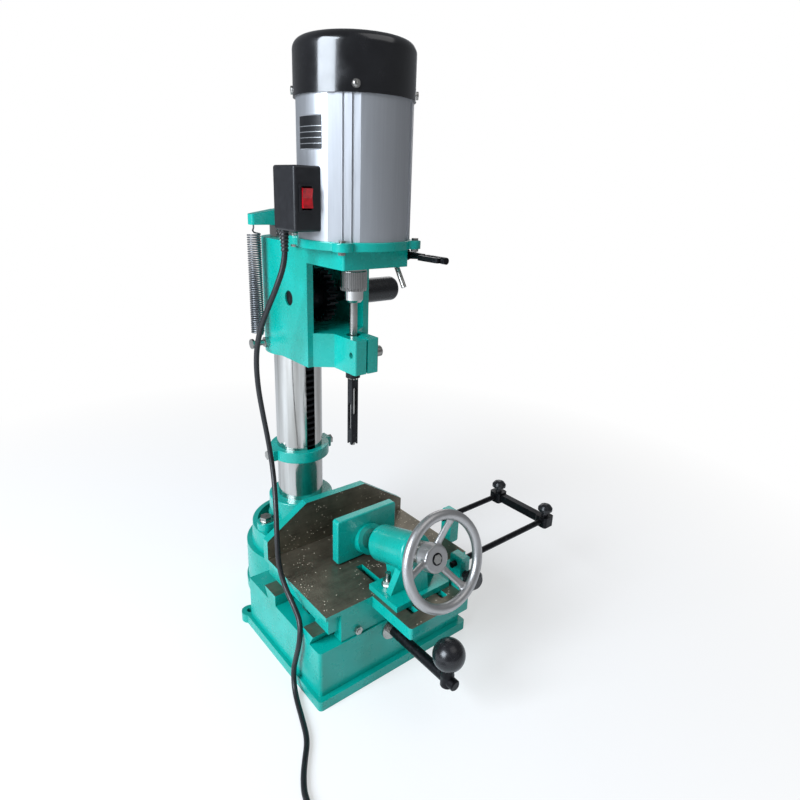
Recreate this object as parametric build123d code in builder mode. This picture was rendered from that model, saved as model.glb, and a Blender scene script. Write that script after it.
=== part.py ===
"""Benchtop mortiser, in millimetres.

+Z is up, -Y is the operator's side and +X is the operator's right. The origin
is on the bench, on the column's axis.
"""
from build123d import *
from math import cos, pi, radians, sin, sqrt, tan
import os

os.makedirs("parts", exist_ok=True)

# Fits
RUN = 0.05  # radial clearance of a shaft in its bush
SLIDE = 0.1  # clearance between machined slideways
FREE = 0.3  # clearance between pieces that move past each other

# Column
COLUMN_R = 35.0
COLUMN_BOTTOM_Z = 60.0
COLUMN_TOP_Z = 574.0
THROAT = 144.0  # column axis to spindle axis
GROOVE_HALF = 7.0
GROOVE_Y = -25.0

# Gears
LIFT_MODULE = 3.0
LIFT_TEETH = 22
LIFT_R = LIFT_MODULE * LIFT_TEETH / 2
FEED_MODULE = 2.0
FEED_TEETH = 20
FEED_R = FEED_MODULE * FEED_TEETH / 2
BACKLASH = 0.25  # taken off each flank

# Base casting
BLOCK_HALF_W = 122.0
BLOCK_FRONT_Y = -252.0
BLOCK_REAR_Y = -60.0
DECK_Z = 80.0
BASE_WALL = 10.0
DECK_T = 12.0
FOOT_LEDGE = 5.0
FOOT_FRONT_LEDGE = 8.0
FOOT_T = 14.0
FOOT_REAR_Y = -38.0
LUG_R = 12.0
LUG_X = 119.0
LUG_Y = -48.0
LUG_HOLE_R = 4.5
DRUM_R = 88.0
UPPER_DRUM_R = 80.0
DRUM_TOP_Z = 112.0
BOSS_R = 52.0
RAIL_H = 16.0
BACK_RAIL_OUT_Y = -109.0
BACK_RAIL_IN_Y = -139.0
FRONT_RAIL_IN_Y = -213.0
FRONT_RAIL_OUT_Y = -237.0
DOVETAIL = 9.0  # how far a rail's top overhangs its foot

# Column socket
SOCKET_R = 50.0
SOCKET_TOP_Z = 159.0
FLANGE_T = 12.0
EAR_X = 63.0
EAR_R = 14.0
SOCKET_BOLT_R = 5.0

# Work table
TABLE_X = 8.0  # table centre, where the photograph shows it
TABLE_HALF_W = 119.0
TABLE_Z = 128.0
PLATE_T = 6.0
FENCE_FACE_Y = -100.0
FENCE_T = 12.0
FENCE_END_H = 28.0
FENCE_H = 68.0
FENCE_TOP_LEFT = 56.0
FENCE_TOP_RIGHT = 46.0
TABLE_FRONT_Y = -250.0
BODY_INSET = 7.0
SKIRT_INSET = 22.0
GIB_T = 4.0
RELIEF_H = 4.0
EXT_HALF_W = 49.0
EXT_FRONT_Y = -327.0
EXT_T = 16.0
SLOT_PITCH = 50.0
SLOT_W = 10.5
SLOT_BACK_Y = -186.0
SLOT_FRONT_Y = -306.0

# Clamp on the table: its screw slopes down towards the fence
CLAMP_TILT = 17.0
JAW_FRONT_Y = -171.0
JAW_T = 12.0
JAW_HALF_W = 50.0
JAW_H = 66.5
JAW_CLEAR = 1.5
CLAMP_AXIS_Z = 155.0
BOSS_CLAMP_R = 22.0
BOSS_LEN = 10.0
QUILL_R = 15.0
CLAMP_BODY_R = 25.0
CLAMP_BODY_START = 36.0
CLAMP_BODY_END = 112.0
CLAMP_SCREW_R = 7.0
COLLAR_END = 130.0
HUB_END = 150.0
HUB_R = 18.0
WHEEL_R = 56.0
RIM_R = 6.5
RIM_S = 162.0
CLAMP_FOOT_HALF_W = 44.0
CLAMP_FOOT_BACK_Y = -236.0
CLAMP_FOOT_FRONT_Y = -294.0
CLAMP_FOOT_T = 8.0
CLAMP_BOLT_Y = -251.0

# Table feed
FEED_X = -10.0
FEED_Z = TABLE_Z - 64.0
FEED_GEAR_Y = -176.0
FEED_GEAR_W = 12.0
FEED_SHAFT_R = 7.0
FEED_BAR_R = 7.0
FEED_END_Y = -377.0
BALL_R = 20.0
BALL_Y = -362.0
BALL_UP = 36.0

# Stop frame
ROD_R = 4.0
ROD_Z = 164.0
ROD_BACK_Y = -207.0
ROD_FRONT_Y = -298.0
ROD_END_X = 246.0
ROD_BACK_X = 118.0
ROD_FRONT_X = 50.0
STOP_X = 240.0
STOP_BLOCK = 20.0
STOP_BAR_W = 10.0

# Head casting
HEAD_HALF_W = 48.0
HEAD_BOTTOM_Z = 400.0
HEAD_TOP_Z = 557.0
SLEEVE_R = 47.0
POST_FRONT_Y = -111.0
BOX_FRONT_Y = -192.0
BOX_BOTTOM_Z = 535.0
LOWER_TOP_Z = 445.0
HOLDER_HALF_W = 18.5
HOLDER_FRONT_Y = -175.0
CAVITY_HALF_W = 39.0
CAVITY_REAR_Y = -37.0
LIFT_Z = 484.0
LIFT_GEAR_W = 2 * GROOVE_HALF - 1
LIFT_SHAFT_R = 10.0
HEAD_FILLET = 3.0

# Motor and spindle
FLANGE_R = 70.0
MOTOR_FLANGE_T = 10.0
MOTOR_LUG_R = 12.0
LUG_PITCH_R = 70.0
FLANGE_SCREW_R = 59.5
TIE_BOLT_R = 75.0
SHELL_R = 67.5
SHELL_FLAT_R = 65.0
SHELL_WALL = 4.5
RIB_W = 18.0
RIB_GROOVE_W = 2.5
SPIGOT_R = 25.0
SHELL_TOP_Z = 720.0
COVER_R = 70.3
COVER_TOP_Z = 780.0
COVER_WALL = 2.5
COVER_SCREW_R = 2.0
STATOR_IN_R = 42.0
ROTOR_R = 41.4
SHAFT_R = 8.5
CHUCK_SLEEVE_R = 17.0
BIT_SHANK_R = 5.0

# Hollow chisel
CHISEL_W = 10.0
CHISEL_SHANK_R = 9.5
CHISEL_TIP_Z = 293.0
CHISEL_SQUARE_Z = 388.0
CHISEL_BORE_R = 3.9
AUGER_R = 3.6

# Switch
BOX_X0 = -96.0
BOX_X1 = -58.0
BOX_Y0 = -169.0
BOX_Y1 = -121.0
BOX_Z0 = 577.0
BOX_Z1 = 647.0
BOX_WALL = 2.5
ROCKER_X = -81.0
ROCKER_Z = 613.0
ROCKER_HALF_W = 6.5
ROCKER_HALF_H = 12.5

# Counterbalance spring
SPRING_X = -63.0
SPRING_WIRE_R = 1.1
SPRING_COIL_R = 8.3
SPRING_CURLS = 44
SPRING_BOTTOM_Z = 426.0
SPRING_TOP_Z = 562.0
ANCHOR_Z = 411.0
ANCHOR_R = 4.0
ARM_T = 20.0

# Power cord
CORD_R = 3.5
CORD_GAP = 0.3  # between one piece of cord and the next
CORD_EXIT_X = -87.5
CORD_EXIT_Y = -129.5
GLAND_END_Z = 552.0
GLAND_R = 5.5

SPINDLE = (0, -THROAT)


def save(name, part):
    """Label one finished piece and write it."""
    part.label = name
    export_step(part, f"parts/{name}.step")


def at_z(z):
    return Plane.XY.offset(z)


def along_y(x, y, z):
    """A plane at a point, facing the operator."""
    return Plane(origin=(x, y, z), x_dir=(1, 0, 0), z_dir=(0, -1, 0))


def along_x(x, y, z):
    """A plane at a point, facing the operator's right."""
    return Plane(origin=(x, y, z), x_dir=(0, 1, 0), z_dir=(1, 0, 0))


def clamp_plane(distance):
    """A plane across the clamp's screw, at a distance from the jaw's front."""
    tilt = radians(CLAMP_TILT)
    out = Vector(0, -cos(tilt), sin(tilt))
    start = Vector(TABLE_X, JAW_FRONT_Y, CLAMP_AXIS_Z)
    return Plane(origin=start + out * distance, x_dir=(1, 0, 0), z_dir=out)


def gear_outline(module, teeth):
    """Draw a spur gear's outline, one straight-flanked tooth on the X axis."""
    pitch_r = module * teeth / 2
    half = pi * module / 4 - BACKLASH / 2
    slope = tan(radians(20))
    tooth = [
        (pitch_r - 1.25 * module, -half - 0.4 * module * slope),
        (pitch_r, -half),
        (pitch_r + module, -half + 1.15 * module * slope),
        (pitch_r + module, half - 1.15 * module * slope),
        (pitch_r, half),
        (pitch_r - 1.25 * module, half + 0.4 * module * slope),
    ]
    points = []
    for i in range(teeth):
        turn = 2 * pi * i / teeth
        for x, y in tooth:
            points.append((x * cos(turn) - y * sin(turn), x * sin(turn) + y * cos(turn)))
    Polyline(*points, close=True)


def rack_outline(module, count, depth):
    """Draw a rack's outline: teeth up along its X axis, pitch line on Y = 0."""
    pitch = pi * module
    half = pitch / 4 - BACKLASH / 2
    slope = tan(radians(20))
    tip, root = module, -1.25 * module
    points = [(-count * pitch / 2, root)]
    for i in range(count):
        middle = (i - (count - 1) / 2) * pitch
        points.append((middle - half - 1.25 * module * slope, root))
        points.append((middle - half + module * slope, tip))
        points.append((middle + half - module * slope, tip))
        points.append((middle + half + 1.25 * module * slope, root))
    points.append((count * pitch / 2, root))
    points.append((count * pitch / 2, root - depth))
    points.append((-count * pitch / 2, root - depth))
    Polyline(*points, close=True)


# ---------------------------------------------------------------- base
RAIL_TOP_Z = DECK_Z + RAIL_H
with BuildPart() as base_casting:
    # foot, front block and the round rear
    with BuildSketch() as foot_outline:
        with Locations((0, (BLOCK_FRONT_Y - FOOT_FRONT_LEDGE + FOOT_REAR_Y) / 2)):
            Rectangle(
                2 * (BLOCK_HALF_W + FOOT_LEDGE),
                FOOT_REAR_Y - BLOCK_FRONT_Y + FOOT_FRONT_LEDGE,
            )
        Circle(DRUM_R + FOOT_LEDGE / 2)
        with Locations((-LUG_X, LUG_Y), (LUG_X, LUG_Y)):
            Circle(LUG_R)
    extrude(amount=FOOT_T)
    with BuildSketch(at_z(FOOT_T)) as block_outline:
        with Locations((0, (BLOCK_FRONT_Y + BLOCK_REAR_Y) / 2)):
            Rectangle(2 * BLOCK_HALF_W, BLOCK_REAR_Y - BLOCK_FRONT_Y)
    extrude(amount=DECK_Z - FOOT_T)
    with BuildSketch(at_z(FOOT_T)) as drum_outline:
        Circle(DRUM_R)
    extrude(amount=DECK_Z - FOOT_T)
    with BuildSketch(at_z(DECK_Z)) as upper_drum:
        Circle(UPPER_DRUM_R)
    extrude(amount=DRUM_TOP_Z - DECK_Z, taper=4)
    # the two rails of the dovetail
    with BuildSketch(Plane.YZ.offset(-BLOCK_HALF_W)) as rails:
        with BuildLine() as back_rail:
            Polyline(
                (BACK_RAIL_IN_Y, DECK_Z - 1),
                (BACK_RAIL_IN_Y, RAIL_TOP_Z),
                (BACK_RAIL_OUT_Y, RAIL_TOP_Z),
                (BACK_RAIL_OUT_Y - DOVETAIL, DECK_Z),
                (BACK_RAIL_OUT_Y - DOVETAIL, DECK_Z - 1),
                close=True,
            )
        make_face()
        with BuildLine() as front_rail:
            Polyline(
                (FRONT_RAIL_IN_Y, DECK_Z - 1),
                (FRONT_RAIL_IN_Y, RAIL_TOP_Z),
                (FRONT_RAIL_OUT_Y, RAIL_TOP_Z),
                (FRONT_RAIL_OUT_Y + DOVETAIL, DECK_Z),
                (FRONT_RAIL_OUT_Y + DOVETAIL, DECK_Z - 1),
                close=True,
            )
        make_face()
    extrude(amount=2 * BLOCK_HALF_W)
    # hollow underside, leaving the column's boss
    with BuildSketch() as hollow:
        with Locations((0, (BLOCK_FRONT_Y + BLOCK_REAR_Y) / 2)):
            Rectangle(
                2 * (BLOCK_HALF_W - BASE_WALL),
                BLOCK_REAR_Y - BLOCK_FRONT_Y - 2 * BASE_WALL,
            )
        Circle(DRUM_R - BASE_WALL)
        Circle(BOSS_R, mode=Mode.SUBTRACT)
    extrude(amount=DECK_Z - DECK_T, mode=Mode.SUBTRACT)
    # recess in the drum's top, round the column socket
    with BuildSketch(at_z(DRUM_TOP_Z)) as rim_recess:
        Circle(UPPER_DRUM_R - BASE_WALL)
        Circle(BOSS_R, mode=Mode.SUBTRACT)
        with Locations((-EAR_X, 0), (EAR_X, 0)):
            Circle(EAR_R, mode=Mode.SUBTRACT)
    extrude(amount=-(DRUM_TOP_Z - DECK_Z - 6), mode=Mode.SUBTRACT)
    # bore for the column, and the tapped holes beside it
    with BuildSketch(at_z(COLUMN_BOTTOM_Z)) as column_bore:
        Circle(COLUMN_R)
    extrude(amount=DRUM_TOP_Z, mode=Mode.SUBTRACT)
    with BuildSketch(at_z(DRUM_TOP_Z)) as tapped:
        with Locations((-EAR_X, 0), (EAR_X, 0)):
            Circle(SOCKET_BOLT_R)
    extrude(amount=-20, mode=Mode.SUBTRACT)
    with BuildSketch() as bench_holes:
        with Locations((-LUG_X, LUG_Y), (LUG_X, LUG_Y)):
            Circle(LUG_HOLE_R)
    extrude(amount=FOOT_T, mode=Mode.SUBTRACT)
    # window in the deck for the feed pinion
    with BuildSketch(at_z(DECK_Z)) as pinion_window:
        with Locations((FEED_X, FEED_GEAR_Y)):
            Rectangle(2 * (FEED_R + FEED_MODULE) + 6, FEED_GEAR_W + 8)
    extrude(amount=-DECK_T, mode=Mode.SUBTRACT)
    # bosses that carry the feed shaft
    with BuildSketch(along_y(FEED_X, BLOCK_FRONT_Y + BASE_WALL, FEED_Z)) as front_boss:
        Circle(FEED_SHAFT_R + 8)
    extrude(amount=-14)
    with BuildSketch(along_y(FEED_X, FEED_GEAR_Y - FEED_GEAR_W / 2 - 6, FEED_Z)) as inner_boss:
        with Locations((0, (DECK_Z - DECK_T - FEED_Z) / 2)):
            Rectangle(2 * (FEED_SHAFT_R + 6), DECK_Z - DECK_T - FEED_Z + 12)
        Circle(FEED_SHAFT_R + 6)
    extrude(amount=10)
    with BuildSketch(along_y(FEED_X, BLOCK_FRONT_Y, FEED_Z)) as bush_bore:
        Circle(FEED_SHAFT_R + 4)
    extrude(amount=-(BASE_WALL + 14), mode=Mode.SUBTRACT)
    with BuildSketch(along_y(FEED_X, BLOCK_FRONT_Y, FEED_Z)) as inner_bore:
        Circle(FEED_SHAFT_R + RUN)
    extrude(amount=-(FEED_GEAR_Y - BLOCK_FRONT_Y - FEED_GEAR_W / 2 - 2), mode=Mode.SUBTRACT)
    fillet(base_casting.edges().filter_by(Axis.Z).filter_by_position(
        Axis.Y, BLOCK_FRONT_Y - FOOT_FRONT_LEDGE - 1, BLOCK_FRONT_Y + 1), 5)
save("base_casting", base_casting.part)

with BuildPart() as feed_bush:
    with BuildSketch(along_y(FEED_X, BLOCK_FRONT_Y - 2, FEED_Z)):
        Circle(FEED_SHAFT_R + 8)
    extrude(amount=-2)
    with BuildSketch(along_y(FEED_X, BLOCK_FRONT_Y, FEED_Z)):
        Circle(FEED_SHAFT_R + 4)
    extrude(amount=-(BASE_WALL + 14))
    with BuildSketch(along_y(FEED_X, BLOCK_FRONT_Y - 2, FEED_Z)):
        Circle(FEED_SHAFT_R + RUN)
    extrude(amount=-(BASE_WALL + 16), mode=Mode.SUBTRACT)
save("feed_bush", feed_bush.part)

with BuildPart() as column_socket:
    with BuildSketch(at_z(DRUM_TOP_Z)):
        with BuildLine():
            left = CenterArc((-EAR_X, 0), EAR_R, 90, 180)
            right = CenterArc((EAR_X, 0), EAR_R, -90, 180)
            Line(left @ 0, right @ 1)
            Line(left @ 1, right @ 0)
        make_face()
        Circle(BOSS_R)
    extrude(amount=FLANGE_T)
    with BuildSketch(at_z(DRUM_TOP_Z)):
        Circle(SOCKET_R)
    extrude(amount=SOCKET_TOP_Z - DRUM_TOP_Z)
    fillet(column_socket.faces().sort_by(Axis.Z)[-1].edges(), 2.5)
    with BuildSketch(at_z(DRUM_TOP_Z)):
        Circle(COLUMN_R)
    extrude(amount=SOCKET_TOP_Z - DRUM_TOP_Z, mode=Mode.SUBTRACT)
    with BuildSketch(at_z(DRUM_TOP_Z)):
        with Locations((-EAR_X, 0), (EAR_X, 0)):
            Circle(SOCKET_BOLT_R)
    extrude(amount=FLANGE_T, mode=Mode.SUBTRACT)
save("column_socket", column_socket.part)

# the column, with a groove down its front for the rack
RACK_COUNT = 34
RACK_LEN = RACK_COUNT * pi * LIFT_MODULE
RACK_PITCH_Y = -COLUMN_R + LIFT_MODULE + 1
LIFT_Y = RACK_PITCH_Y - LIFT_R
RACK_DEPTH = RACK_PITCH_Y + 1.25 * LIFT_MODULE - GROOVE_Y
RACK_MIDDLE_Z = LIFT_Z + pi * LIFT_MODULE / 2 - 11 * pi * LIFT_MODULE
with BuildPart() as column:
    with BuildSketch(at_z(COLUMN_BOTTOM_Z)):
        Circle(COLUMN_R)
    extrude(amount=COLUMN_TOP_Z - COLUMN_BOTTOM_Z)
    chamfer(column.edges().sort_by(Axis.Z)[-1], 1.5)
    with BuildSketch(at_z(RACK_MIDDLE_Z - RACK_LEN / 2)):
        with Locations((0, GROOVE_Y)):
            Rectangle(2 * GROOVE_HALF, COLUMN_R, align=(Align.CENTER, Align.MAX))
    extrude(amount=RACK_LEN, mode=Mode.SUBTRACT)
    with BuildSketch(at_z(COLUMN_BOTTOM_Z)):
        Circle(COLUMN_R - 14)
    extrude(amount=COLUMN_TOP_Z - COLUMN_BOTTOM_Z - 24, mode=Mode.SUBTRACT)
    with BuildSketch(at_z(COLUMN_TOP_Z)):
        Circle(6)
    extrude(amount=-24, mode=Mode.SUBTRACT)
save("column", column.part)

with BuildPart() as column_rack:
    # teeth face the operator; the pitch line runs up the column
    rack_plane = Plane(
        origin=(-GROOVE_HALF, RACK_PITCH_Y, RACK_MIDDLE_Z), x_dir=(0, 0, 1), z_dir=(1, 0, 0)
    )
    with BuildSketch(rack_plane):
        with BuildLine():
            rack_outline(LIFT_MODULE, RACK_COUNT, GROOVE_Y - RACK_PITCH_Y - 1.25 * LIFT_MODULE)
        make_face()
    extrude(amount=2 * GROOVE_HALF)
save("column_rack", column_rack.part)

with BuildPart() as spring_arm:
    with BuildSketch(at_z(COLUMN_TOP_Z)):
        Circle(30)
        with BuildLine():
            Polyline((0, -14), (0, 14), (SPRING_X - 6, 7), (SPRING_X - 6, -7), close=True)
        make_face()
    extrude(amount=ARM_T)
    with BuildSketch(Plane.XZ.offset(40)):
        with BuildLine():
            Polyline(
                (SPRING_X - 10, COLUMN_TOP_Z + 13),
                (-31, COLUMN_TOP_Z + ARM_T),
                (-31, COLUMN_TOP_Z + ARM_T + 5),
                (SPRING_X - 10, COLUMN_TOP_Z + ARM_T + 5),
                close=True,
            )
        make_face()
    extrude(amount=-80, mode=Mode.SUBTRACT)
    fillet(spring_arm.edges().filter_by(Axis.Z).sort_by(Axis.X)[:2], 5)
    with BuildSketch(at_z(COLUMN_TOP_Z)):
        Circle(6)
    extrude(amount=ARM_T, mode=Mode.SUBTRACT)
    with BuildSketch(at_z(COLUMN_TOP_Z)):
        with Locations((SPRING_X, 0)):
            Circle(SPRING_WIRE_R + FREE)
    extrude(amount=ARM_T, mode=Mode.SUBTRACT)
save("spring_arm", spring_arm.part)

with BuildPart() as column_bolts:
    # two hold the socket's flange, one holds the arm
    flange_top = DRUM_TOP_Z + FLANGE_T
    with Locations((-EAR_X, 0, flange_top), (EAR_X, 0, flange_top)):
        Cylinder(10, 2, align=(Align.CENTER, Align.CENTER, Align.MIN))
        Cylinder(SOCKET_BOLT_R, FLANGE_T + 18, align=(Align.CENTER, Align.CENTER, Align.MAX))
    with BuildSketch(at_z(flange_top + 2)):
        with Locations((-EAR_X, 0), (EAR_X, 0)):
            RegularPolygon(8, 6, major_radius=False)
    extrude(amount=6.5)
    with Locations((0, 0, COLUMN_TOP_Z + ARM_T)):
        Cylinder(6, ARM_T + 22, align=(Align.CENTER, Align.CENTER, Align.MAX))
    with BuildSketch(at_z(COLUMN_TOP_Z + ARM_T)):
        RegularPolygon(9.5, 6, major_radius=False)
    extrude(amount=7.5)
save("column_bolts", column_bolts.part)

STOP_COLLAR_Z = 226.0
STOP_COLLAR_H = 17.0
STOP_COLLAR_R = 45.0
with BuildPart() as stop_collar:
    with BuildSketch(at_z(STOP_COLLAR_Z)):
        Circle(STOP_COLLAR_R)
        with Locations((-STOP_COLLAR_R, 0), (STOP_COLLAR_R, 0)):
            Rectangle(12, 20)
    extrude(amount=STOP_COLLAR_H)
    fillet(stop_collar.faces().filter_by(Axis.Z).edges(), 1.2)
    with BuildSketch(at_z(STOP_COLLAR_Z)):
        Circle(COLUMN_R)
    extrude(amount=STOP_COLLAR_H, mode=Mode.SUBTRACT)
    with BuildSketch(Plane.YZ.offset(-80)):
        with Locations((0, STOP_COLLAR_Z + STOP_COLLAR_H / 2)):
            Circle(4)
    extrude(amount=160, mode=Mode.SUBTRACT)
save("stop_collar", stop_collar.part)

with BuildPart() as collar_screws:
    for side in (-1, 1):
        seat = side * (STOP_COLLAR_R + 6)
        with BuildSketch(
            Plane(origin=(seat, 0, STOP_COLLAR_Z + STOP_COLLAR_H / 2), z_dir=(side, 0, 0))
        ):
            RegularPolygon(6.5, 6, major_radius=False)
        extrude(amount=6)
        with BuildSketch(
            Plane(origin=(seat, 0, STOP_COLLAR_Z + STOP_COLLAR_H / 2), z_dir=(side, 0, 0))
        ):
            Circle(4)
        extrude(amount=-(STOP_COLLAR_R + 6 - COLUMN_R - 0.5))
save("collar_screws", collar_screws.part)

# ---------------------------------------------------------------- table
BODY_BOTTOM_Z = RAIL_TOP_Z + SLIDE
SKIRT_BOTTOM_Z = DECK_Z + 1
BODY_BACK_Y = FENCE_FACE_Y + FENCE_T


def lean(z):
    """How far the dovetail's flank has run under at a height."""
    return DOVETAIL / RAIL_H * (RAIL_TOP_Z - z)


with BuildPart() as table_casting:
    # top plate, recessed body, extension
    with BuildSketch(at_z(TABLE_Z - PLATE_T)):
        with Locations((TABLE_X, (TABLE_FRONT_Y + BODY_BACK_Y) / 2)):
            Rectangle(2 * TABLE_HALF_W, BODY_BACK_Y - TABLE_FRONT_Y)
    extrude(amount=PLATE_T)
    with BuildSketch(at_z(BODY_BOTTOM_Z)):
        with Locations((TABLE_X, (TABLE_FRONT_Y + 6 + BODY_BACK_Y) / 2)):
            Rectangle(2 * (TABLE_HALF_W - BODY_INSET), BODY_BACK_Y - TABLE_FRONT_Y - 6)
    extrude(amount=TABLE_Z - PLATE_T - BODY_BOTTOM_Z)
    with BuildSketch(at_z(TABLE_Z)):
        with Locations((TABLE_X, (EXT_FRONT_Y + TABLE_FRONT_Y + 20) / 2)):
            Rectangle(2 * EXT_HALF_W, TABLE_FRONT_Y + 20 - EXT_FRONT_Y)
    extrude(amount=-EXT_T)
    # skirts round the dovetail
    with BuildSketch(Plane.YZ.offset(TABLE_X - TABLE_HALF_W + SKIRT_INSET)):
        with BuildLine():
            Polyline(
                (BODY_BACK_Y, BODY_BOTTOM_Z + 1),
                (BACK_RAIL_OUT_Y + SLIDE, BODY_BOTTOM_Z + 1),
                (BACK_RAIL_OUT_Y + SLIDE - lean(BODY_BOTTOM_Z), BODY_BOTTOM_Z),
                (BACK_RAIL_OUT_Y + SLIDE - lean(SKIRT_BOTTOM_Z), SKIRT_BOTTOM_Z),
                (BODY_BACK_Y, SKIRT_BOTTOM_Z),
                close=True,
            )
        make_face()
        with BuildLine():
            Polyline(
                (TABLE_FRONT_Y, BODY_BOTTOM_Z + 26),
                (FRONT_RAIL_OUT_Y - GIB_T - SLIDE, BODY_BOTTOM_Z + 26),
                (FRONT_RAIL_OUT_Y - GIB_T - SLIDE + lean(BODY_BOTTOM_Z), BODY_BOTTOM_Z),
                (FRONT_RAIL_OUT_Y - GIB_T - SLIDE + lean(SKIRT_BOTTOM_Z), SKIRT_BOTTOM_Z),
                (TABLE_FRONT_Y, SKIRT_BOTTOM_Z),
                close=True,
            )
        make_face()
    extrude(amount=2 * (TABLE_HALF_W - SKIRT_INSET))
    # relief between the slideways
    with BuildSketch(at_z(BODY_BOTTOM_Z)):
        with Locations((TABLE_X, (BACK_RAIL_IN_Y + FRONT_RAIL_IN_Y) / 2)):
            Rectangle(2 * TABLE_HALF_W, BACK_RAIL_IN_Y - FRONT_RAIL_IN_Y)
    extrude(amount=RELIEF_H, mode=Mode.SUBTRACT)
    # fence
    with BuildSketch(Plane.XZ.offset(-BODY_BACK_Y)):
        with BuildLine():
            Polyline(
                (TABLE_X - TABLE_HALF_W, TABLE_Z),
                (TABLE_X - TABLE_HALF_W, TABLE_Z + FENCE_END_H),
                (TABLE_X - FENCE_TOP_LEFT, TABLE_Z + FENCE_H),
                (TABLE_X + FENCE_TOP_RIGHT, TABLE_Z + FENCE_H),
                (TABLE_X + TABLE_HALF_W, TABLE_Z + FENCE_END_H * 0.7),
                (TABLE_X + TABLE_HALF_W, TABLE_Z),
                close=True,
            )
        make_face()
    extrude(amount=FENCE_T)
    # T-slots for the clamp's bolts
    with BuildSketch(at_z(TABLE_Z)):
        with Locations((TABLE_X, (SLOT_BACK_Y + SLOT_FRONT_Y) / 2)):
            with GridLocations(SLOT_PITCH, 1, 2, 1):
                Rectangle(SLOT_W, SLOT_BACK_Y - SLOT_FRONT_Y)
    extrude(amount=-EXT_T, mode=Mode.SUBTRACT)
    with BuildSketch(at_z(TABLE_Z - 8)):
        with Locations((TABLE_X, (SLOT_BACK_Y + SLOT_FRONT_Y) / 2)):
            with GridLocations(SLOT_PITCH, 1, 2, 1):
                Rectangle(SLOT_W + 8, SLOT_BACK_Y - SLOT_FRONT_Y)
    extrude(amount=-6, mode=Mode.SUBTRACT)
    # tapped holes for the gib screws
    for along in (-72, 0, 72):
        with BuildSketch(along_y(TABLE_X + along, TABLE_FRONT_Y, DECK_Z + 8)):
            Circle(3)
        extrude(amount=-(GIB_T + 16), mode=Mode.SUBTRACT)
    fillet(
        table_casting.edges().filter_by(Axis.Z).filter_by_position(
            Axis.Y, EXT_FRONT_Y - 1, EXT_FRONT_Y + 1), 4)
save("table_casting", table_casting.part)

with BuildPart() as gib_strip:
    with BuildSketch(Plane.YZ.offset(TABLE_X - TABLE_HALF_W + SKIRT_INSET)):
        with BuildLine():
            Polyline(
                (FRONT_RAIL_OUT_Y - SLIDE, RAIL_TOP_Z),
                (FRONT_RAIL_OUT_Y - SLIDE - GIB_T, RAIL_TOP_Z),
                (FRONT_RAIL_OUT_Y - SLIDE - GIB_T + lean(SKIRT_BOTTOM_Z), SKIRT_BOTTOM_Z),
                (FRONT_RAIL_OUT_Y - SLIDE + lean(SKIRT_BOTTOM_Z), SKIRT_BOTTOM_Z),
                close=True,
            )
        make_face()
    extrude(amount=2 * (TABLE_HALF_W - SKIRT_INSET))
save("gib_strip", gib_strip.part)

with BuildPart() as gib_screws:
    # the gib leans, so each screw stops on its near edge
    gib_y = FRONT_RAIL_OUT_Y - SLIDE - GIB_T + lean(DECK_Z + 8 + 3)
    for along in (-72, 0, 72):
        with BuildSketch(along_y(TABLE_X + along, TABLE_FRONT_Y - 5, DECK_Z + 8)):
            Circle(3)
        extrude(amount=-(gib_y - TABLE_FRONT_Y + 5))
        with BuildSketch(along_y(TABLE_X + along, TABLE_FRONT_Y, DECK_Z + 8)):
            RegularPolygon(5, 6, major_radius=False)
        extrude(amount=4)
save("gib_screws", gib_screws.part)

FEED_RACK_COUNT = 28
with BuildPart() as table_rack:
    feed_rack_plane = Plane(
        origin=(FEED_X, FEED_GEAR_Y - FEED_GEAR_W / 2, FEED_Z + FEED_R),
        x_dir=(1, 0, 0),
        z_dir=(0, 1, 0),
    )
    with BuildSketch(feed_rack_plane):
        with BuildLine():
            rack_outline(
                FEED_MODULE,
                FEED_RACK_COUNT,
                BODY_BOTTOM_Z + RELIEF_H - FEED_Z - FEED_R - 1.25 * FEED_MODULE,
            )
        make_face()
    extrude(amount=FEED_GEAR_W)
save("table_rack", table_rack.part)

# ---------------------------------------------------------------- clamp
with BuildPart() as clamp_body:
    with BuildSketch(clamp_plane(CLAMP_BODY_START)):
        Circle(CLAMP_BODY_R)
    extrude(amount=CLAMP_BODY_END - CLAMP_BODY_START)
    fillet(clamp_body.edges(), 4)
    with BuildSketch(at_z(TABLE_Z)):
        with Locations((TABLE_X, (CLAMP_FOOT_BACK_Y + CLAMP_FOOT_FRONT_Y) / 2)):
            Rectangle(2 * CLAMP_FOOT_HALF_W, CLAMP_FOOT_BACK_Y - CLAMP_FOOT_FRONT_Y)
    extrude(amount=CLAMP_FOOT_T)
    with BuildSketch(Plane.YZ.offset(TABLE_X - 13)):
        with BuildLine():
            Polyline(
                (CLAMP_FOOT_BACK_Y - 1, TABLE_Z + 1),
                (CLAMP_FOOT_BACK_Y + 8, 162),
                (-262, 180),
                (-281, 178),
                (-288, TABLE_Z + 1),
                close=True,
            )
        make_face()
    extrude(amount=26)
    with BuildSketch(along_y(TABLE_X, -262, TABLE_Z)):
        with BuildLine():
            Polyline((-40, 1), (-22, 38), (22, 38), (40, 1), close=True)
        make_face()
    extrude(amount=10)
    # bore for the quill, then for the screw's journal
    with BuildSketch(clamp_plane(CLAMP_BODY_START)):
        Circle(QUILL_R + RUN)
    extrude(amount=CLAMP_BODY_END - CLAMP_BODY_START - 8, mode=Mode.SUBTRACT)
    with BuildSketch(clamp_plane(CLAMP_BODY_END)):
        Circle(CLAMP_SCREW_R + RUN)
    extrude(amount=-10, mode=Mode.SUBTRACT)
    with BuildSketch(at_z(TABLE_Z)):
        with Locations((TABLE_X, CLAMP_BOLT_Y)):
            with GridLocations(SLOT_PITCH, 1, 2, 1):
                Circle(4)
    extrude(amount=CLAMP_FOOT_T, mode=Mode.SUBTRACT)
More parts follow.
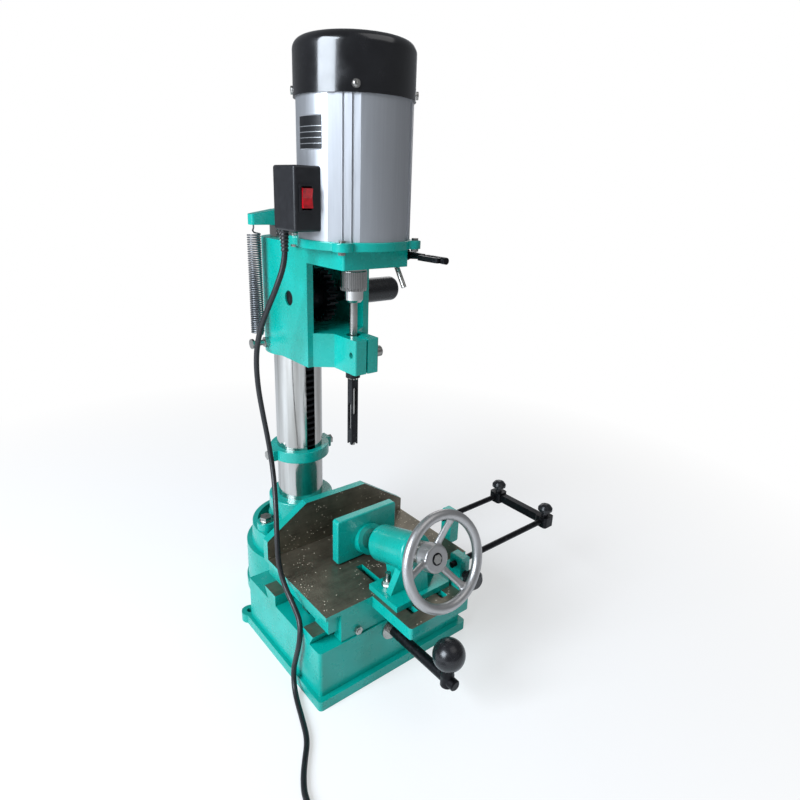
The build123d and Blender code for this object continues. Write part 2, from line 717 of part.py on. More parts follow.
save("clamp_body", clamp_body.part)

with BuildPart() as clamp_bolts:
    top_z = TABLE_Z + CLAMP_FOOT_T
    for side in (-1, 1):
        bolt_x = TABLE_X + side * SLOT_PITCH / 2
        with Locations((bolt_x, CLAMP_BOLT_Y, TABLE_Z - 14)):
            Box(SLOT_W + 6, 14, 5, align=(Align.CENTER, Align.CENTER, Align.MIN))
        with Locations((bolt_x, CLAMP_BOLT_Y, TABLE_Z - 14)):
            Cylinder(4, 40, align=(Align.CENTER, Align.CENTER, Align.MIN))
        with Locations((bolt_x, CLAMP_BOLT_Y, top_z)):
            Cylinder(8.5, 1.6, align=(Align.CENTER, Align.CENTER, Align.MIN))
        with BuildSketch(at_z(top_z + 1.6)):
            with Locations((bolt_x, CLAMP_BOLT_Y)):
                RegularPolygon(6.5, 6, major_radius=False)
        extrude(amount=6.5)
save("clamp_bolts", clamp_bolts.part)

with BuildPart() as jaw_plate:
    with BuildSketch(Plane.XZ.offset(-JAW_FRONT_Y - JAW_T)):
        with Locations((TABLE_X, TABLE_Z + JAW_CLEAR + JAW_H / 2)):
            RectangleRounded(2 * JAW_HALF_W, JAW_H, 4)
    extrude(amount=JAW_T)
    fillet(jaw_plate.faces().sort_by(Axis.Y)[0].edges(), 2)
    with BuildSketch(clamp_plane(-4)):
        Circle(BOSS_CLAMP_R)
    extrude(amount=BOSS_LEN + 4)
    with BuildSketch(clamp_plane(2)):
        Circle(QUILL_R)
    extrude(amount=BOSS_LEN, mode=Mode.SUBTRACT)
save("jaw_plate", jaw_plate.part)

QUILL_END = CLAMP_BODY_END - 10 - 24
with BuildPart() as clamp_quill:
    with BuildSketch(clamp_plane(2)):
        Circle(QUILL_R)
    extrude(amount=QUILL_END - 2)
    with BuildSketch(clamp_plane(QUILL_END)):
        Circle(CLAMP_SCREW_R + 0.1)
    extrude(amount=-(QUILL_END - 12), mode=Mode.SUBTRACT)
save("clamp_quill", clamp_quill.part)

with BuildPart() as clamp_screw:
    with BuildSketch(clamp_plane(40)):
        Circle(CLAMP_SCREW_R)
    extrude(amount=HUB_END - 6 - 40)
    with BuildSketch(clamp_plane(CLAMP_BODY_END + SLIDE)):
        Circle(HUB_R - 1)
    extrude(amount=COLLAR_END - CLAMP_BODY_END - SLIDE)
save("clamp_screw", clamp_screw.part)

with BuildPart() as handwheel:
    with BuildSketch(clamp_plane(COLLAR_END)):
        Circle(HUB_R)
    extrude(amount=HUB_END - COLLAR_END)
    fillet(handwheel.edges(), 1.5)
    rim_plane = clamp_plane(RIM_S)
    rim_section = Plane(
        origin=rim_plane.origin + rim_plane.x_dir * WHEEL_R,
        x_dir=rim_plane.x_dir,
        z_dir=rim_plane.y_dir,
    )
    with BuildSketch(rim_section):
        Circle(RIM_R)
    revolve(axis=Axis(rim_plane.origin, rim_plane.z_dir), revolution_arc=360)
    for spoke in range(3):
        turn = radians(62 + 120 * spoke)
        outward = rim_plane.x_dir * cos(turn) + rim_plane.y_dir * sin(turn)
        middle = clamp_plane(COLLAR_END).origin
        spoke_plane = Plane(origin=middle, x_dir=outward, z_dir=rim_plane.z_dir.cross(outward))
        rise = RIM_S - COLLAR_END
        with BuildSketch(spoke_plane):
            with BuildLine():
                hub_side = HUB_R - 5
                rim_side = WHEEL_R - 2
                Polyline(
                    (hub_side, -7),
                    (rim_side, -rise + 4),
                    (rim_side, -rise - 3),
                    (hub_side, -17),
                    close=True,
                )
            make_face()
        extrude(amount=5.5, both=True)
    with BuildSketch(clamp_plane(COLLAR_END)):
        Circle(CLAMP_SCREW_R)
    extrude(amount=HUB_END - COLLAR_END, mode=Mode.SUBTRACT)
save("handwheel", handwheel.part)

with BuildPart() as wheel_nut:
    with BuildSketch(clamp_plane(HUB_END - 6)):
        Circle(CLAMP_SCREW_R - 0.1)
    extrude(amount=2)
    with BuildSketch(clamp_plane(HUB_END - 4)):
        RegularPolygon(5.5, 6, major_radius=False)
    extrude(amount=5)
save("wheel_nut", wheel_nut.part)

# ---------------------------------------------------------------- table feed
with BuildPart() as feed_pinion:
    gear_plane = along_y(FEED_X, FEED_GEAR_Y + FEED_GEAR_W / 2, FEED_Z)
    with BuildSketch(gear_plane):
        with BuildLine():
            gear_outline(FEED_MODULE, FEED_TEETH)
        make_face()
    extrude(amount=FEED_GEAR_W)
    with BuildSketch(gear_plane):
        Circle(FEED_SHAFT_R)
    extrude(amount=FEED_GEAR_Y + FEED_GEAR_W / 2 - BLOCK_FRONT_Y + 6)
    with BuildSketch(along_y(FEED_X, BLOCK_FRONT_Y - 6, FEED_Z)):
        Circle(4)
    extrude(amount=14)
save("feed_pinion", feed_pinion.part)

with BuildPart() as feed_crank:
    with BuildSketch(along_y(FEED_X, BLOCK_FRONT_Y - 6, FEED_Z)):
        Circle(FEED_BAR_R)
    extrude(amount=-(FEED_END_Y - BLOCK_FRONT_Y + 6))
    chamfer(feed_crank.edges().sort_by(Axis.Y)[0], 1.5)
    with BuildSketch(along_y(FEED_X, BLOCK_FRONT_Y - 6, FEED_Z)):
        Circle(4)
    extrude(amount=14, mode=Mode.SUBTRACT)
    with BuildSketch(Plane.XZ.offset(-BALL_Y)):
        with BuildLine():
            Polyline(
                (FEED_X, FEED_Z - 8),
                (FEED_X + 8.5, FEED_Z - 8),
                (FEED_X + 8.5, FEED_Z + 7),
                (FEED_X + 6, FEED_Z + 20),
                (FEED_X, FEED_Z + 20),
                close=True,
            )
        make_face()
    revolve(axis=Axis((FEED_X, BALL_Y, 0), (0, 0, 1)), revolution_arc=360)
save("feed_crank", feed_crank.part)

with BuildPart() as ball_knob:
    with Locations((FEED_X, BALL_Y, FEED_Z + BALL_UP)):
        Sphere(BALL_R)
    with Locations((FEED_X, BALL_Y, FEED_Z + 20)):
        Cylinder(BALL_R, 40, align=(Align.CENTER, Align.CENTER, Align.MAX), mode=Mode.SUBTRACT)
save("ball_knob", ball_knob.part)

# ---------------------------------------------------------------- stop frame
BRACKET_W = 16.0
with BuildPart() as rod_brackets:
    # one on the table's right edge, one on the extension's
    for edge_x, rod_y in (
        (TABLE_X + TABLE_HALF_W, ROD_BACK_Y),
        (TABLE_X + EXT_HALF_W, ROD_FRONT_Y),
    ):
        with BuildSketch(along_y(edge_x, rod_y - 10, 0)):
            with Locations((BRACKET_W / 2, (TABLE_Z - PLATE_T + 2 + ROD_Z + 10) / 2)):
                RectangleRounded(BRACKET_W, ROD_Z + 10 - TABLE_Z + PLATE_T - 2, 3)
        extrude(amount=-20)
        with BuildSketch(Plane.YZ.offset(edge_x)):
            with Locations((rod_y, ROD_Z)):
                Circle(ROD_R + RUN)
        extrude(amount=BRACKET_W, mode=Mode.SUBTRACT)
save("rod_brackets", rod_brackets.part)

KNOB_X = TABLE_X + EXT_HALF_W + BRACKET_W / 2
with BuildPart() as rod_knob:
    with BuildSketch(Plane.YZ.offset(KNOB_X)):
        with BuildLine():
            Polyline(
                (ROD_FRONT_Y - 10, ROD_Z - 14),
                (ROD_FRONT_Y - 10, ROD_Z - 9),
                (ROD_FRONT_Y - 20, ROD_Z - 8),
                (ROD_FRONT_Y - 20, ROD_Z - 1),
                (ROD_FRONT_Y - 30, ROD_Z - 1),
                (ROD_FRONT_Y - 34, ROD_Z - 5),
                (ROD_FRONT_Y - 34, ROD_Z - 14),
                close=True,
            )
        make_face()
    revolve(axis=Axis((KNOB_X, 0, ROD_Z - 14), (0, 1, 0)), revolution_arc=360)
save("rod_knob", rod_knob.part)

with BuildPart() as stop_rods:
    for start_x, rod_y in ((ROD_BACK_X, ROD_BACK_Y), (ROD_FRONT_X, ROD_FRONT_Y)):
        with BuildSketch(Plane.YZ.offset(start_x)):
            with Locations((rod_y, ROD_Z)):
                Circle(ROD_R)
        extrude(amount=ROD_END_X - start_x)
save("stop_rods", stop_rods.part)

with BuildPart() as stop_bar:
    with BuildSketch(at_z(ROD_Z - 8)):
        with Locations((STOP_X, ROD_BACK_Y), (STOP_X, ROD_FRONT_Y)):
            RectangleRounded(STOP_BLOCK, STOP_BLOCK, 4)
    extrude(amount=16)
    with BuildSketch(at_z(ROD_Z - 6)):
        with Locations((STOP_X, (ROD_BACK_Y + ROD_FRONT_Y) / 2)):
            Rectangle(STOP_BAR_W, ROD_BACK_Y - ROD_FRONT_Y)
    extrude(amount=12)
    for rod_y in (ROD_BACK_Y, ROD_FRONT_Y):
        with BuildSketch(Plane.YZ.offset(STOP_X - STOP_BLOCK)):
            with Locations((rod_y, ROD_Z)):
                Circle(ROD_R)
        extrude(amount=STOP_BLOCK + ROD_END_X - STOP_X, mode=Mode.SUBTRACT)
save("stop_bar", stop_bar.part)


def thumb_knob(name, knob_y):
    """A mushroom knob that stands on one of the stop bar's blocks."""
    base_z = ROD_Z + 8
    with BuildPart() as knob:
        with BuildSketch(Plane.XZ.offset(-knob_y)):
            with BuildLine():
                Polyline(
                    (STOP_X, base_z + 18),
                    (STOP_X, base_z),
                    (STOP_X + 5, base_z),
                    (STOP_X + 4, base_z + 8),
                    (STOP_X + 10.5, base_z + 8.5),
                    (STOP_X + 10.5, base_z + 12),
                    (STOP_X + 7.5, base_z + 16),
                    (STOP_X + 3, base_z + 18),
                    close=True,
                )
            make_face()
        revolve(axis=Axis((STOP_X, knob_y, 0), (0, 0, 1)), revolution_arc=360)
    save(name, knob.part)


thumb_knob("stop_knob_back", ROD_BACK_Y)
thumb_knob("stop_knob_front", ROD_FRONT_Y)

# ---------------------------------------------------------------- head
with BuildPart() as head_casting:
    with BuildSketch(at_z(HEAD_BOTTOM_Z - 5)):
        Circle(SLEEVE_R)
    extrude(amount=HEAD_TOP_Z - HEAD_BOTTOM_Z + 5)
    with BuildSketch(at_z(HEAD_BOTTOM_Z)):
        with Locations((0, POST_FRONT_Y / 2)):
            Rectangle(2 * HEAD_HALF_W, -POST_FRONT_Y)
    extrude(amount=HEAD_TOP_Z - HEAD_BOTTOM_Z)
    with BuildSketch(at_z(BOX_BOTTOM_Z)):
        with Locations((0, (POST_FRONT_Y + BOX_FRONT_Y) / 2 + 5)):
            Rectangle(2 * HEAD_HALF_W, POST_FRONT_Y - BOX_FRONT_Y + 10)
    extrude(amount=HEAD_TOP_Z - BOX_BOTTOM_Z)
    with BuildSketch(at_z(HEAD_BOTTOM_Z)):
        with BuildLine():
            Polyline(
                (-HEAD_HALF_W, -80),
                (-HEAD_HALF_W, -105),
                (-HOLDER_HALF_W, -128),
                (-HOLDER_HALF_W, HOLDER_FRONT_Y),
                (HOLDER_HALF_W, HOLDER_FRONT_Y),
                (HOLDER_HALF_W, -128),
                (HEAD_HALF_W, -105),
                (HEAD_HALF_W, -80),
                close=True,
            )
        make_face()
    extrude(amount=LOWER_TOP_Z - HEAD_BOTTOM_Z)
    # rounded upright corners at the front
    corners = head_casting.edges().filter_by(Axis.Z).filter_by_position(
        Axis.Y, BOX_FRONT_Y - 1, HOLDER_FRONT_Y + 1)
    fillet(corners, HEAD_FILLET)
    # pinion chamber, open to the front, with a window onto the rack
    with BuildSketch(at_z(LOWER_TOP_Z)):
        with Locations((0, CAVITY_REAR_Y)):
            Rectangle(
                2 * CAVITY_HALF_W, CAVITY_REAR_Y - POST_FRONT_Y + 1, align=(Align.CENTER, Align.MAX)
            )
        Rectangle(LIFT_GEAR_W + 3, -CAVITY_REAR_Y + 1, align=(Align.CENTER, Align.MAX))
    extrude(amount=BOX_BOTTOM_Z - LOWER_TOP_Z, mode=Mode.SUBTRACT)
    # hollow of the upper box
    with BuildSketch(at_z(BOX_BOTTOM_Z)):
        with Locations((0, (POST_FRONT_Y + BOX_FRONT_Y) / 2)):
            Rectangle(2 * (HEAD_HALF_W - 8), POST_FRONT_Y - BOX_FRONT_Y - 16)
    extrude(amount=HEAD_TOP_Z - BOX_BOTTOM_Z - 8, mode=Mode.SUBTRACT)
    with BuildSketch(at_z(HEAD_TOP_Z)):
        with Locations(SPINDLE):
            Circle(SPIGOT_R)
    extrude(amount=-20, mode=Mode.SUBTRACT)
    # sleeve bore for the column
    with BuildSketch(at_z(HEAD_BOTTOM_Z - 5)):
        Circle(COLUMN_R + RUN)
    extrude(amount=HEAD_TOP_Z - HEAD_BOTTOM_Z + 5, mode=Mode.SUBTRACT)
    # pinion shaft bores
    with BuildSketch(Plane.YZ.offset(-HEAD_HALF_W - 2)):
        with Locations((LIFT_Y, LIFT_Z)):
            Circle(LIFT_SHAFT_R + RUN)
    extrude(amount=2 * HEAD_HALF_W + 4, mode=Mode.SUBTRACT)
    # chisel holder: bore, split and clamp screw
    with BuildSketch(at_z(HEAD_BOTTOM_Z)):
        with Locations(SPINDLE):
            Circle(CHISEL_SHANK_R)
    extrude(amount=LOWER_TOP_Z - HEAD_BOTTOM_Z, mode=Mode.SUBTRACT)
    with BuildSketch(at_z(HEAD_BOTTOM_Z)):
        with Locations((0, -THROAT)):
            Rectangle(2.5, 40, align=(Align.CENTER, Align.MAX))
    extrude(amount=LOWER_TOP_Z - HEAD_BOTTOM_Z, mode=Mode.SUBTRACT)
    with BuildSketch(Plane.YZ.offset(-HOLDER_HALF_W - 1)):
        with Locations((HOLDER_FRONT_Y + 9, HEAD_BOTTOM_Z + 25)):
            Circle(4)
    extrude(amount=2 * HOLDER_HALF_W + 2, mode=Mode.SUBTRACT)
    # tapped holes for the motor flange and the spring anchor
    with BuildSketch(at_z(HEAD_TOP_Z)):
        with Locations(SPINDLE):
            with PolarLocations(FLANGE_SCREW_R, 4, start_angle=45):
                Circle(3)
    extrude(amount=-14, mode=Mode.SUBTRACT)
    with BuildSketch(Plane.YZ.offset(-HEAD_HALF_W - 1)):
        with Locations((0, ANCHOR_Z)):
            Circle(4)
    extrude(amount=9, mode=Mode.SUBTRACT)
save("head_casting", head_casting.part)

with BuildPart() as head_screws:
    # the spring's anchor, on the left
    with BuildSketch(Plane.YZ.offset(SPRING_X - 8)):
        with Locations((0, ANCHOR_Z)):
            Circle(ANCHOR_R)
    extrude(amount=8 - SPRING_X - HEAD_HALF_W + 8)
    with BuildSketch(Plane.YZ.offset(-HEAD_HALF_W)):
        with Locations((0, ANCHOR_Z)):
            RegularPolygon(6.5, 6, major_radius=False)
    extrude(amount=-6)
    with BuildSketch(Plane.YZ.offset(SPRING_X - 8)):
        with Locations((0, ANCHOR_Z)):
            Circle(7)
    extrude(amount=-3)
    # the socket screw that pinches the chisel
    screw_y = HOLDER_FRONT_Y + 9
    screw_z = HEAD_BOTTOM_Z + 25
    with BuildSketch(Plane.YZ.offset(HOLDER_HALF_W)):
        with Locations((screw_y, screw_z)):
            Circle(7)
    extrude(amount=8)
    with BuildSketch(Plane.YZ.offset(HOLDER_HALF_W + 8)):
        with Locations((screw_y, screw_z)):
            RegularPolygon(3.5, 6, major_radius=False)
    extrude(amount=-4, mode=Mode.SUBTRACT)
    with BuildSketch(Plane.YZ.offset(HOLDER_HALF_W)):
        with Locations((screw_y, screw_z)):
            Circle(4)
    extrude(amount=-(2 * HOLDER_HALF_W - 5))
save("head_screws", head_screws.part)

with BuildPart() as chisel:
    with BuildSketch(at_z(CHISEL_SQUARE_Z)):
        with Locations(SPINDLE):
            Circle(CHISEL_SHANK_R)
    extrude(amount=LOWER_TOP_Z - 4 - CHISEL_SQUARE_Z)
    with BuildSketch(at_z(CHISEL_TIP_Z)):
        with Locations(SPINDLE):
            Rectangle(CHISEL_W, CHISEL_W)
    extrude(amount=CHISEL_SQUARE_Z - CHISEL_TIP_Z)
    with BuildSketch(at_z(CHISEL_TIP_Z)):
        with Locations(SPINDLE):
            Circle(CHISEL_BORE_R)
    extrude(amount=LOWER_TOP_Z - CHISEL_TIP_Z, mode=Mode.SUBTRACT)
    with BuildSketch(at_z(CHISEL_SQUARE_Z - 4)):
        with Locations(SPINDLE):
            Circle(BIT_SHANK_R + 1)
    extrude(amount=LOWER_TOP_Z - CHISEL_SQUARE_Z, mode=Mode.SUBTRACT)
    # chip slots, one on the left face and one on the front
    with BuildSketch(Plane.XZ.offset(THROAT)):
        with Locations((0, CHISEL_TIP_Z + 62)):
            SlotOverall(38, 5.5, rotation=90)
    extrude(amount=CHISEL_W, mode=Mode.SUBTRACT)
    with BuildSketch(Plane.YZ):
        with Locations((-THROAT, CHISEL_TIP_Z + 40)):
            SlotOverall(38, 5.5, rotation=90)
    extrude(amount=-CHISEL_W, mode=Mode.SUBTRACT)
    # four cutting corners
    with BuildSketch(Plane.XZ.offset(THROAT)):
        with BuildLine():
            Polyline(
                (-CHISEL_W / 2 + 0.6, CHISEL_TIP_Z - 1),
                (0, CHISEL_TIP_Z + 4),
                (CHISEL_W / 2 - 0.6, CHISEL_TIP_Z - 1),
                close=True,
            )
        make_face()
    extrude(amount=CHISEL_W, both=True, mode=Mode.SUBTRACT)
    with BuildSketch(Plane.YZ):
        with BuildLine():
            Polyline(
                (-THROAT - CHISEL_W / 2 + 0.6, CHISEL_TIP_Z - 1),
                (-THROAT, CHISEL_TIP_Z + 4),
                (-THROAT + CHISEL_W / 2 - 0.6, CHISEL_TIP_Z - 1),
                close=True,
            )
        make_face()
    extrude(amount=CHISEL_W, both=True, mode=Mode.SUBTRACT)
save("chisel", chisel.part)

# lock lever on the right side of the head, and the pin under it
LOCK_X = HEAD_HALF_W
LOCK_Y = BOX_FRONT_Y + 12
LOCK_Z = HEAD_TOP_Z - 9
with BuildPart() as lock_lever:
    with BuildSketch(Plane.YZ.offset(LOCK_X + FREE)):
        with Locations((LOCK_Y, LOCK_Z)):
            Circle(7)
    extrude(amount=8)
    with BuildSketch(Plane.YZ.offset(LOCK_X + 3)):
        with BuildLine():
            Polyline(
                (LOCK_Y, LOCK_Z + 5), (LOCK_Y - 34, LOCK_Z + 4),
                (LOCK_Y - 34, LOCK_Z - 2), (LOCK_Y, LOCK_Z - 5), close=True,
            )
        make_face()
    extrude(amount=5)
    with BuildSketch(at_z(LOCK_Z - 3)):
        with Locations((LOCK_X + 4.5, LOCK_Y - 50)):
            RectangleRounded(17, 36, 3)
            RectangleRounded(9, 27, 2, mode=Mode.SUBTRACT)
    extrude(amount=6)
    with BuildSketch(along_y(LOCK_X + 4.5, LOCK_Y - 67, LOCK_Z)):
        Circle(4)
    extrude(amount=8)
save("lock_lever", lock_lever.part)

with BuildPart() as guide_pin:
    pin_top = Vector(LOCK_X - 6, BOX_FRONT_Y + 20, BOX_BOTTOM_Z + 6)
    pin_end = Vector(LOCK_X - 3, BOX_FRONT_Y + 3, BOX_BOTTOM_Z - 26)
    pin_dir = (pin_end - pin_top).normalized()
    with BuildSketch(Plane(origin=pin_top, z_dir=pin_dir)):
        Circle(3.2)
    extrude(amount=(pin_end - pin_top).length)
    with BuildSketch(at_z(BOX_BOTTOM_Z)):
        with Locations((LOCK_X, BOX_FRONT_Y)):
            Rectangle(60, 80)
    extrude(amount=20, mode=Mode.SUBTRACT)
save("guide_pin", guide_pin.part)

# ---------------------------------------------------------------- head feed
with BuildPart() as lift_pinion:
    gear_left = Plane(origin=(-LIFT_GEAR_W / 2, LIFT_Y, LIFT_Z), x_dir=(0, 0, 1), z_dir=(1, 0, 0))
    with BuildSketch(gear_left):
        with BuildLine():
            gear_outline(LIFT_MODULE, LIFT_TEETH)
        make_face()
    extrude(amount=LIFT_GEAR_W)
    with BuildSketch(Plane.YZ.offset(-LIFT_GEAR_W / 2 - 14)):
        with Locations((LIFT_Y, LIFT_Z)):
            Circle(LIFT_SHAFT_R + 9)
    extrude(amount=14)
    with BuildSketch(Plane.YZ.offset(-HEAD_HALF_W + 2)):
        with Locations((LIFT_Y, LIFT_Z)):
            Circle(LIFT_SHAFT_R)
    extrude(amount=2 * HEAD_HALF_W - 2)
save("lift_pinion", lift_pinion.part)

LEVER_HUB_R = 17.5
LEVER_HUB_END_X = 128.0
LEVER_X = 112.0
with BuildPart() as lever_hub:
    with BuildSketch(Plane.YZ.offset(HEAD_HALF_W + FREE)):
        with Locations((LIFT_Y, LIFT_Z)):
            Circle(LEVER_HUB_R)
    extrude(amount=LEVER_HUB_END_X - HEAD_HALF_W - FREE)
    fillet(lever_hub.faces().sort_by(Axis.X)[-1].edges(), 8)
    with BuildSketch(Plane.XZ.offset(-LIFT_Y)):
        with Locations((LEVER_X, LIFT_Z)):
            Circle(6)
    extrude(amount=-30, mode=Mode.SUBTRACT)
save("lever_hub", lever_hub.part)

with BuildPart() as feed_lever:
    with BuildSketch(Plane.XZ.offset(-LIFT_Y)):
        with Locations((LEVER_X, LIFT_Z)):
            Circle(6)
    extrude(amount=-250)
save("feed_lever", feed_lever.part)

with BuildPart() as lever_grip:
    with BuildSketch(Plane.XZ.offset(-LIFT_Y - 180)):
        with Locations((LEVER_X, LIFT_Z)):
            Circle(13)
    extrude(amount=-100)
    fillet(lever_grip.edges(), 4)
    with BuildSketch(Plane.XZ.offset(-LIFT_Y - 180)):
        with Locations((LEVER_X, LIFT_Z)):
            Circle(6)
    extrude(amount=-70, mode=Mode.SUBTRACT)
save("lever_grip", lever_grip.part)

# ---------------------------------------------------------------- motor
SHELL_BOTTOM_Z = HEAD_TOP_Z + MOTOR_FLANGE_T
SHELL_IN_R = SHELL_R - SHELL_WALL
BEARING_R = 20.0
with BuildPart() as motor_flange:
    with BuildSketch(at_z(HEAD_TOP_Z)):
        with Locations(SPINDLE):
            Circle(FLANGE_R)
            with PolarLocations(LUG_PITCH_R, 4, start_angle=45):
                Circle(MOTOR_LUG_R)
    extrude(amount=MOTOR_FLANGE_T)
    fillet(motor_flange.faces().sort_by(Axis.Z)[-1].edges(), 1.5)
    # spigots that centre the shell above and the head below
    with BuildSketch(at_z(HEAD_TOP_Z)):
        with Locations(SPINDLE):
            Circle(SHELL_IN_R)
    extrude(amount=MOTOR_FLANGE_T + 6)
    with BuildSketch(at_z(HEAD_TOP_Z - 7)):
        with Locations(SPINDLE):
            Circle(SPIGOT_R)
    extrude(amount=8)
    with BuildSketch(at_z(HEAD_TOP_Z + 4)):
        with Locations(SPINDLE):
            Circle(BEARING_R)
    extrude(amount=12, mode=Mode.SUBTRACT)
    with BuildSketch(at_z(HEAD_TOP_Z - 7)):
        with Locations(SPINDLE):
            Circle(SHAFT_R + 1)
    extrude(amount=20, mode=Mode.SUBTRACT)
    # screw holes, countersunk into the upper spigot
    with BuildSketch(at_z(HEAD_TOP_Z)):
        with Locations(SPINDLE):
            with PolarLocations(FLANGE_SCREW_R, 4, start_angle=45):
                Circle(3)
            with PolarLocations(TIE_BOLT_R, 4, start_angle=45):
                Circle(2.5)
    extrude(amount=MOTOR_FLANGE_T + 6, mode=Mode.SUBTRACT)
    # the column passes behind the flange
    with BuildSketch(at_z(HEAD_TOP_Z)):
        Circle(COLUMN_R + 2)
    extrude(amount=MOTOR_FLANGE_T + 6, mode=Mode.SUBTRACT)
save("motor_flange", motor_flange.part)

with BuildPart() as motor_shell:
    # an extrusion, flat at its corners with a grooved rib up each flat
    with BuildSketch(at_z(SHELL_BOTTOM_Z)):
        with Locations(SPINDLE):
            Circle(SHELL_R)
            with PolarLocations(SHELL_FLAT_R, 4, start_angle=45):
                Rectangle(20, 80, align=(Align.MIN, Align.CENTER), mode=Mode.SUBTRACT)
            with PolarLocations(SHELL_R, 4, start_angle=45):
                Rectangle(8, RIB_W, align=(Align.MAX, Align.CENTER))
                Rectangle(2, RIB_GROOVE_W, align=(Align.MAX, Align.CENTER), mode=Mode.SUBTRACT)
            Circle(SHELL_IN_R, mode=Mode.SUBTRACT)
    extrude(amount=SHELL_TOP_Z - SHELL_BOTTOM_Z)
save("motor_shell", motor_shell.part)

STATOR_Z0 = 596.0
STATOR_Z1 = 676.0
with BuildPart() as stator:
    with BuildSketch(at_z(STATOR_Z0)):
        with Locations(SPINDLE):
            Circle(SHELL_IN_R)
            Circle(STATOR_IN_R, mode=Mode.SUBTRACT)
    extrude(amount=STATOR_Z1 - STATOR_Z0)
save("stator", stator.part)

REAR_BELL_Z = SHELL_TOP_Z - 18
COVER_SCREW_Z = SHELL_TOP_Z + 8
COVER_RIM_H = 16.0


def cover_screw_planes():
    """Four planes on the fan cover's side, each facing outward."""
    planes = []
    for turn in range(4):
        angle = radians(-124 + 90 * turn)
        out = Vector(cos(angle), sin(angle), 0)
        planes.append(Plane(origin=Vector(0, -THROAT, COVER_SCREW_Z) + out * COVER_R, z_dir=out))
    return planes


with BuildPart() as rear_bell:
    with BuildSketch(at_z(REAR_BELL_Z)):
        with Locations(SPINDLE):
            Circle(SHELL_IN_R)
    extrude(amount=SHELL_TOP_Z - REAR_BELL_Z)
    # rim that the fan cover fits over
    with BuildSketch(at_z(SHELL_TOP_Z)):
        with Locations(SPINDLE):
            Circle(COVER_R - COVER_WALL)
    extrude(amount=COVER_RIM_H)
    with BuildSketch(at_z(SHELL_TOP_Z)):
        with Locations(SPINDLE):
            Circle(SHELL_IN_R - 4)
    extrude(amount=COVER_RIM_H, mode=Mode.SUBTRACT)
    with BuildSketch(at_z(REAR_BELL_Z)):
        with Locations(SPINDLE):
            Circle(BEARING_R)
    extrude(amount=12, mode=Mode.SUBTRACT)
    with BuildSketch(at_z(REAR_BELL_Z)):
        with Locations(SPINDLE):
            Circle(SHAFT_R + 1)
    extrude(amount=SHELL_TOP_Z - REAR_BELL_Z, mode=Mode.SUBTRACT)
    for seat in cover_screw_planes():
        with BuildSketch(seat):
            Circle(COVER_SCREW_R)
        extrude(amount=-COVER_WALL - 4, mode=Mode.SUBTRACT)
save("rear_bell", rear_bell.part)

with BuildPart() as motor_bearings:
    for bearing_z in (HEAD_TOP_Z + 4, REAR_BELL_Z):
        with BuildSketch(at_z(bearing_z)):
            with Locations(SPINDLE):
                Circle(BEARING_R)
                Circle(SHAFT_R + RUN, mode=Mode.SUBTRACT)
        extrude(amount=12)
save("motor_bearings", motor_bearings.part)

FAN_Z = SHELL_TOP_Z + 8
with BuildPart() as rotor:
    with BuildSketch(at_z(BOX_BOTTOM_Z + 8)):
        with Locations(SPINDLE):
            Circle(SHAFT_R)
    extrude(amount=FAN_Z + 14 - BOX_BOTTOM_Z - 8)
    with BuildSketch(at_z(STATOR_Z0 - 4)):
        with Locations(SPINDLE):
            Circle(ROTOR_R)
    extrude(amount=STATOR_Z1 - STATOR_Z0 + 8)
save("rotor", rotor.part)

with BuildPart() as cooling_fan:
    with BuildSketch(at_z(FAN_Z)):
        with Locations(SPINDLE):
            Circle(58)
    extrude(amount=3)
    with BuildSketch(at_z(FAN_Z)):
        with Locations(SPINDLE):
            with PolarLocations(38, 10):
                Rectangle(36, 3)
    extrude(amount=24)
    with BuildSketch(at_z(FAN_Z)):
        with Locations(SPINDLE):
            Circle(18)
    extrude(amount=14)
    with BuildSketch(at_z(FAN_Z)):
        with Locations(SPINDLE):
            Circle(SHAFT_R)
    extrude(amount=30, mode=Mode.SUBTRACT)
save("cooling_fan", cooling_fan.part)

with BuildPart() as fan_cover:
    with BuildSketch(at_z(SHELL_TOP_Z)):
        with Locations(SPINDLE):
            Circle(COVER_R)
    extrude(amount=COVER_TOP_Z - SHELL_TOP_Z)
    fillet(fan_cover.faces().sort_by(Axis.Z)[-1].edges(), 12)
    offset(amount=-COVER_WALL, openings=fan_cover.faces().sort_by(Axis.Z)[0])
    for seat in cover_screw_planes():
        with BuildSketch(seat):
            Circle(COVER_SCREW_R)
        extrude(amount=-COVER_WALL - 1, mode=Mode.SUBTRACT)
save("fan_cover", fan_cover.part)

with BuildPart() as motor_screws:
    # four under the shell hold the flange to the head
    with BuildSketch(at_z(HEAD_TOP_Z - 12)):
        with Locations(SPINDLE):
            with PolarLocations(FLANGE_SCREW_R, 4, start_angle=45):
                Circle(3)
    extrude(amount=12 + MOTOR_FLANGE_T + 4)
    # four in the lugs
    with BuildSketch(at_z(HEAD_TOP_Z - 4)):
        with Locations(SPINDLE):
            with PolarLocations(TIE_BOLT_R, 4, start_angle=45):
                Circle(2.5)
    extrude(amount=4 + MOTOR_FLANGE_T)
    with BuildSketch(at_z(SHELL_BOTTOM_Z)):
        with Locations(SPINDLE):
            with PolarLocations(TIE_BOLT_R, 4, start_angle=45):
                Circle(4)
    extrude(amount=2.5)
    with BuildSketch(at_z(HEAD_TOP_Z)):
        with Locations(SPINDLE):
            with PolarLocations(TIE_BOLT_R, 4, start_angle=45):
                RegularPolygon(4, 6, major_radius=False)
    extrude(amount=-3.5)
    # four round the fan cover
    for seat in cover_screw_planes():
        with BuildSketch(seat):
            Circle(COVER_SCREW_R)
        extrude(amount=-COVER_WALL - 4)
        with BuildSketch(seat):
            Circle(COVER_SCREW_R + 2.5)
        extrude(amount=2.4)
save("motor_screws", motor_screws.part)

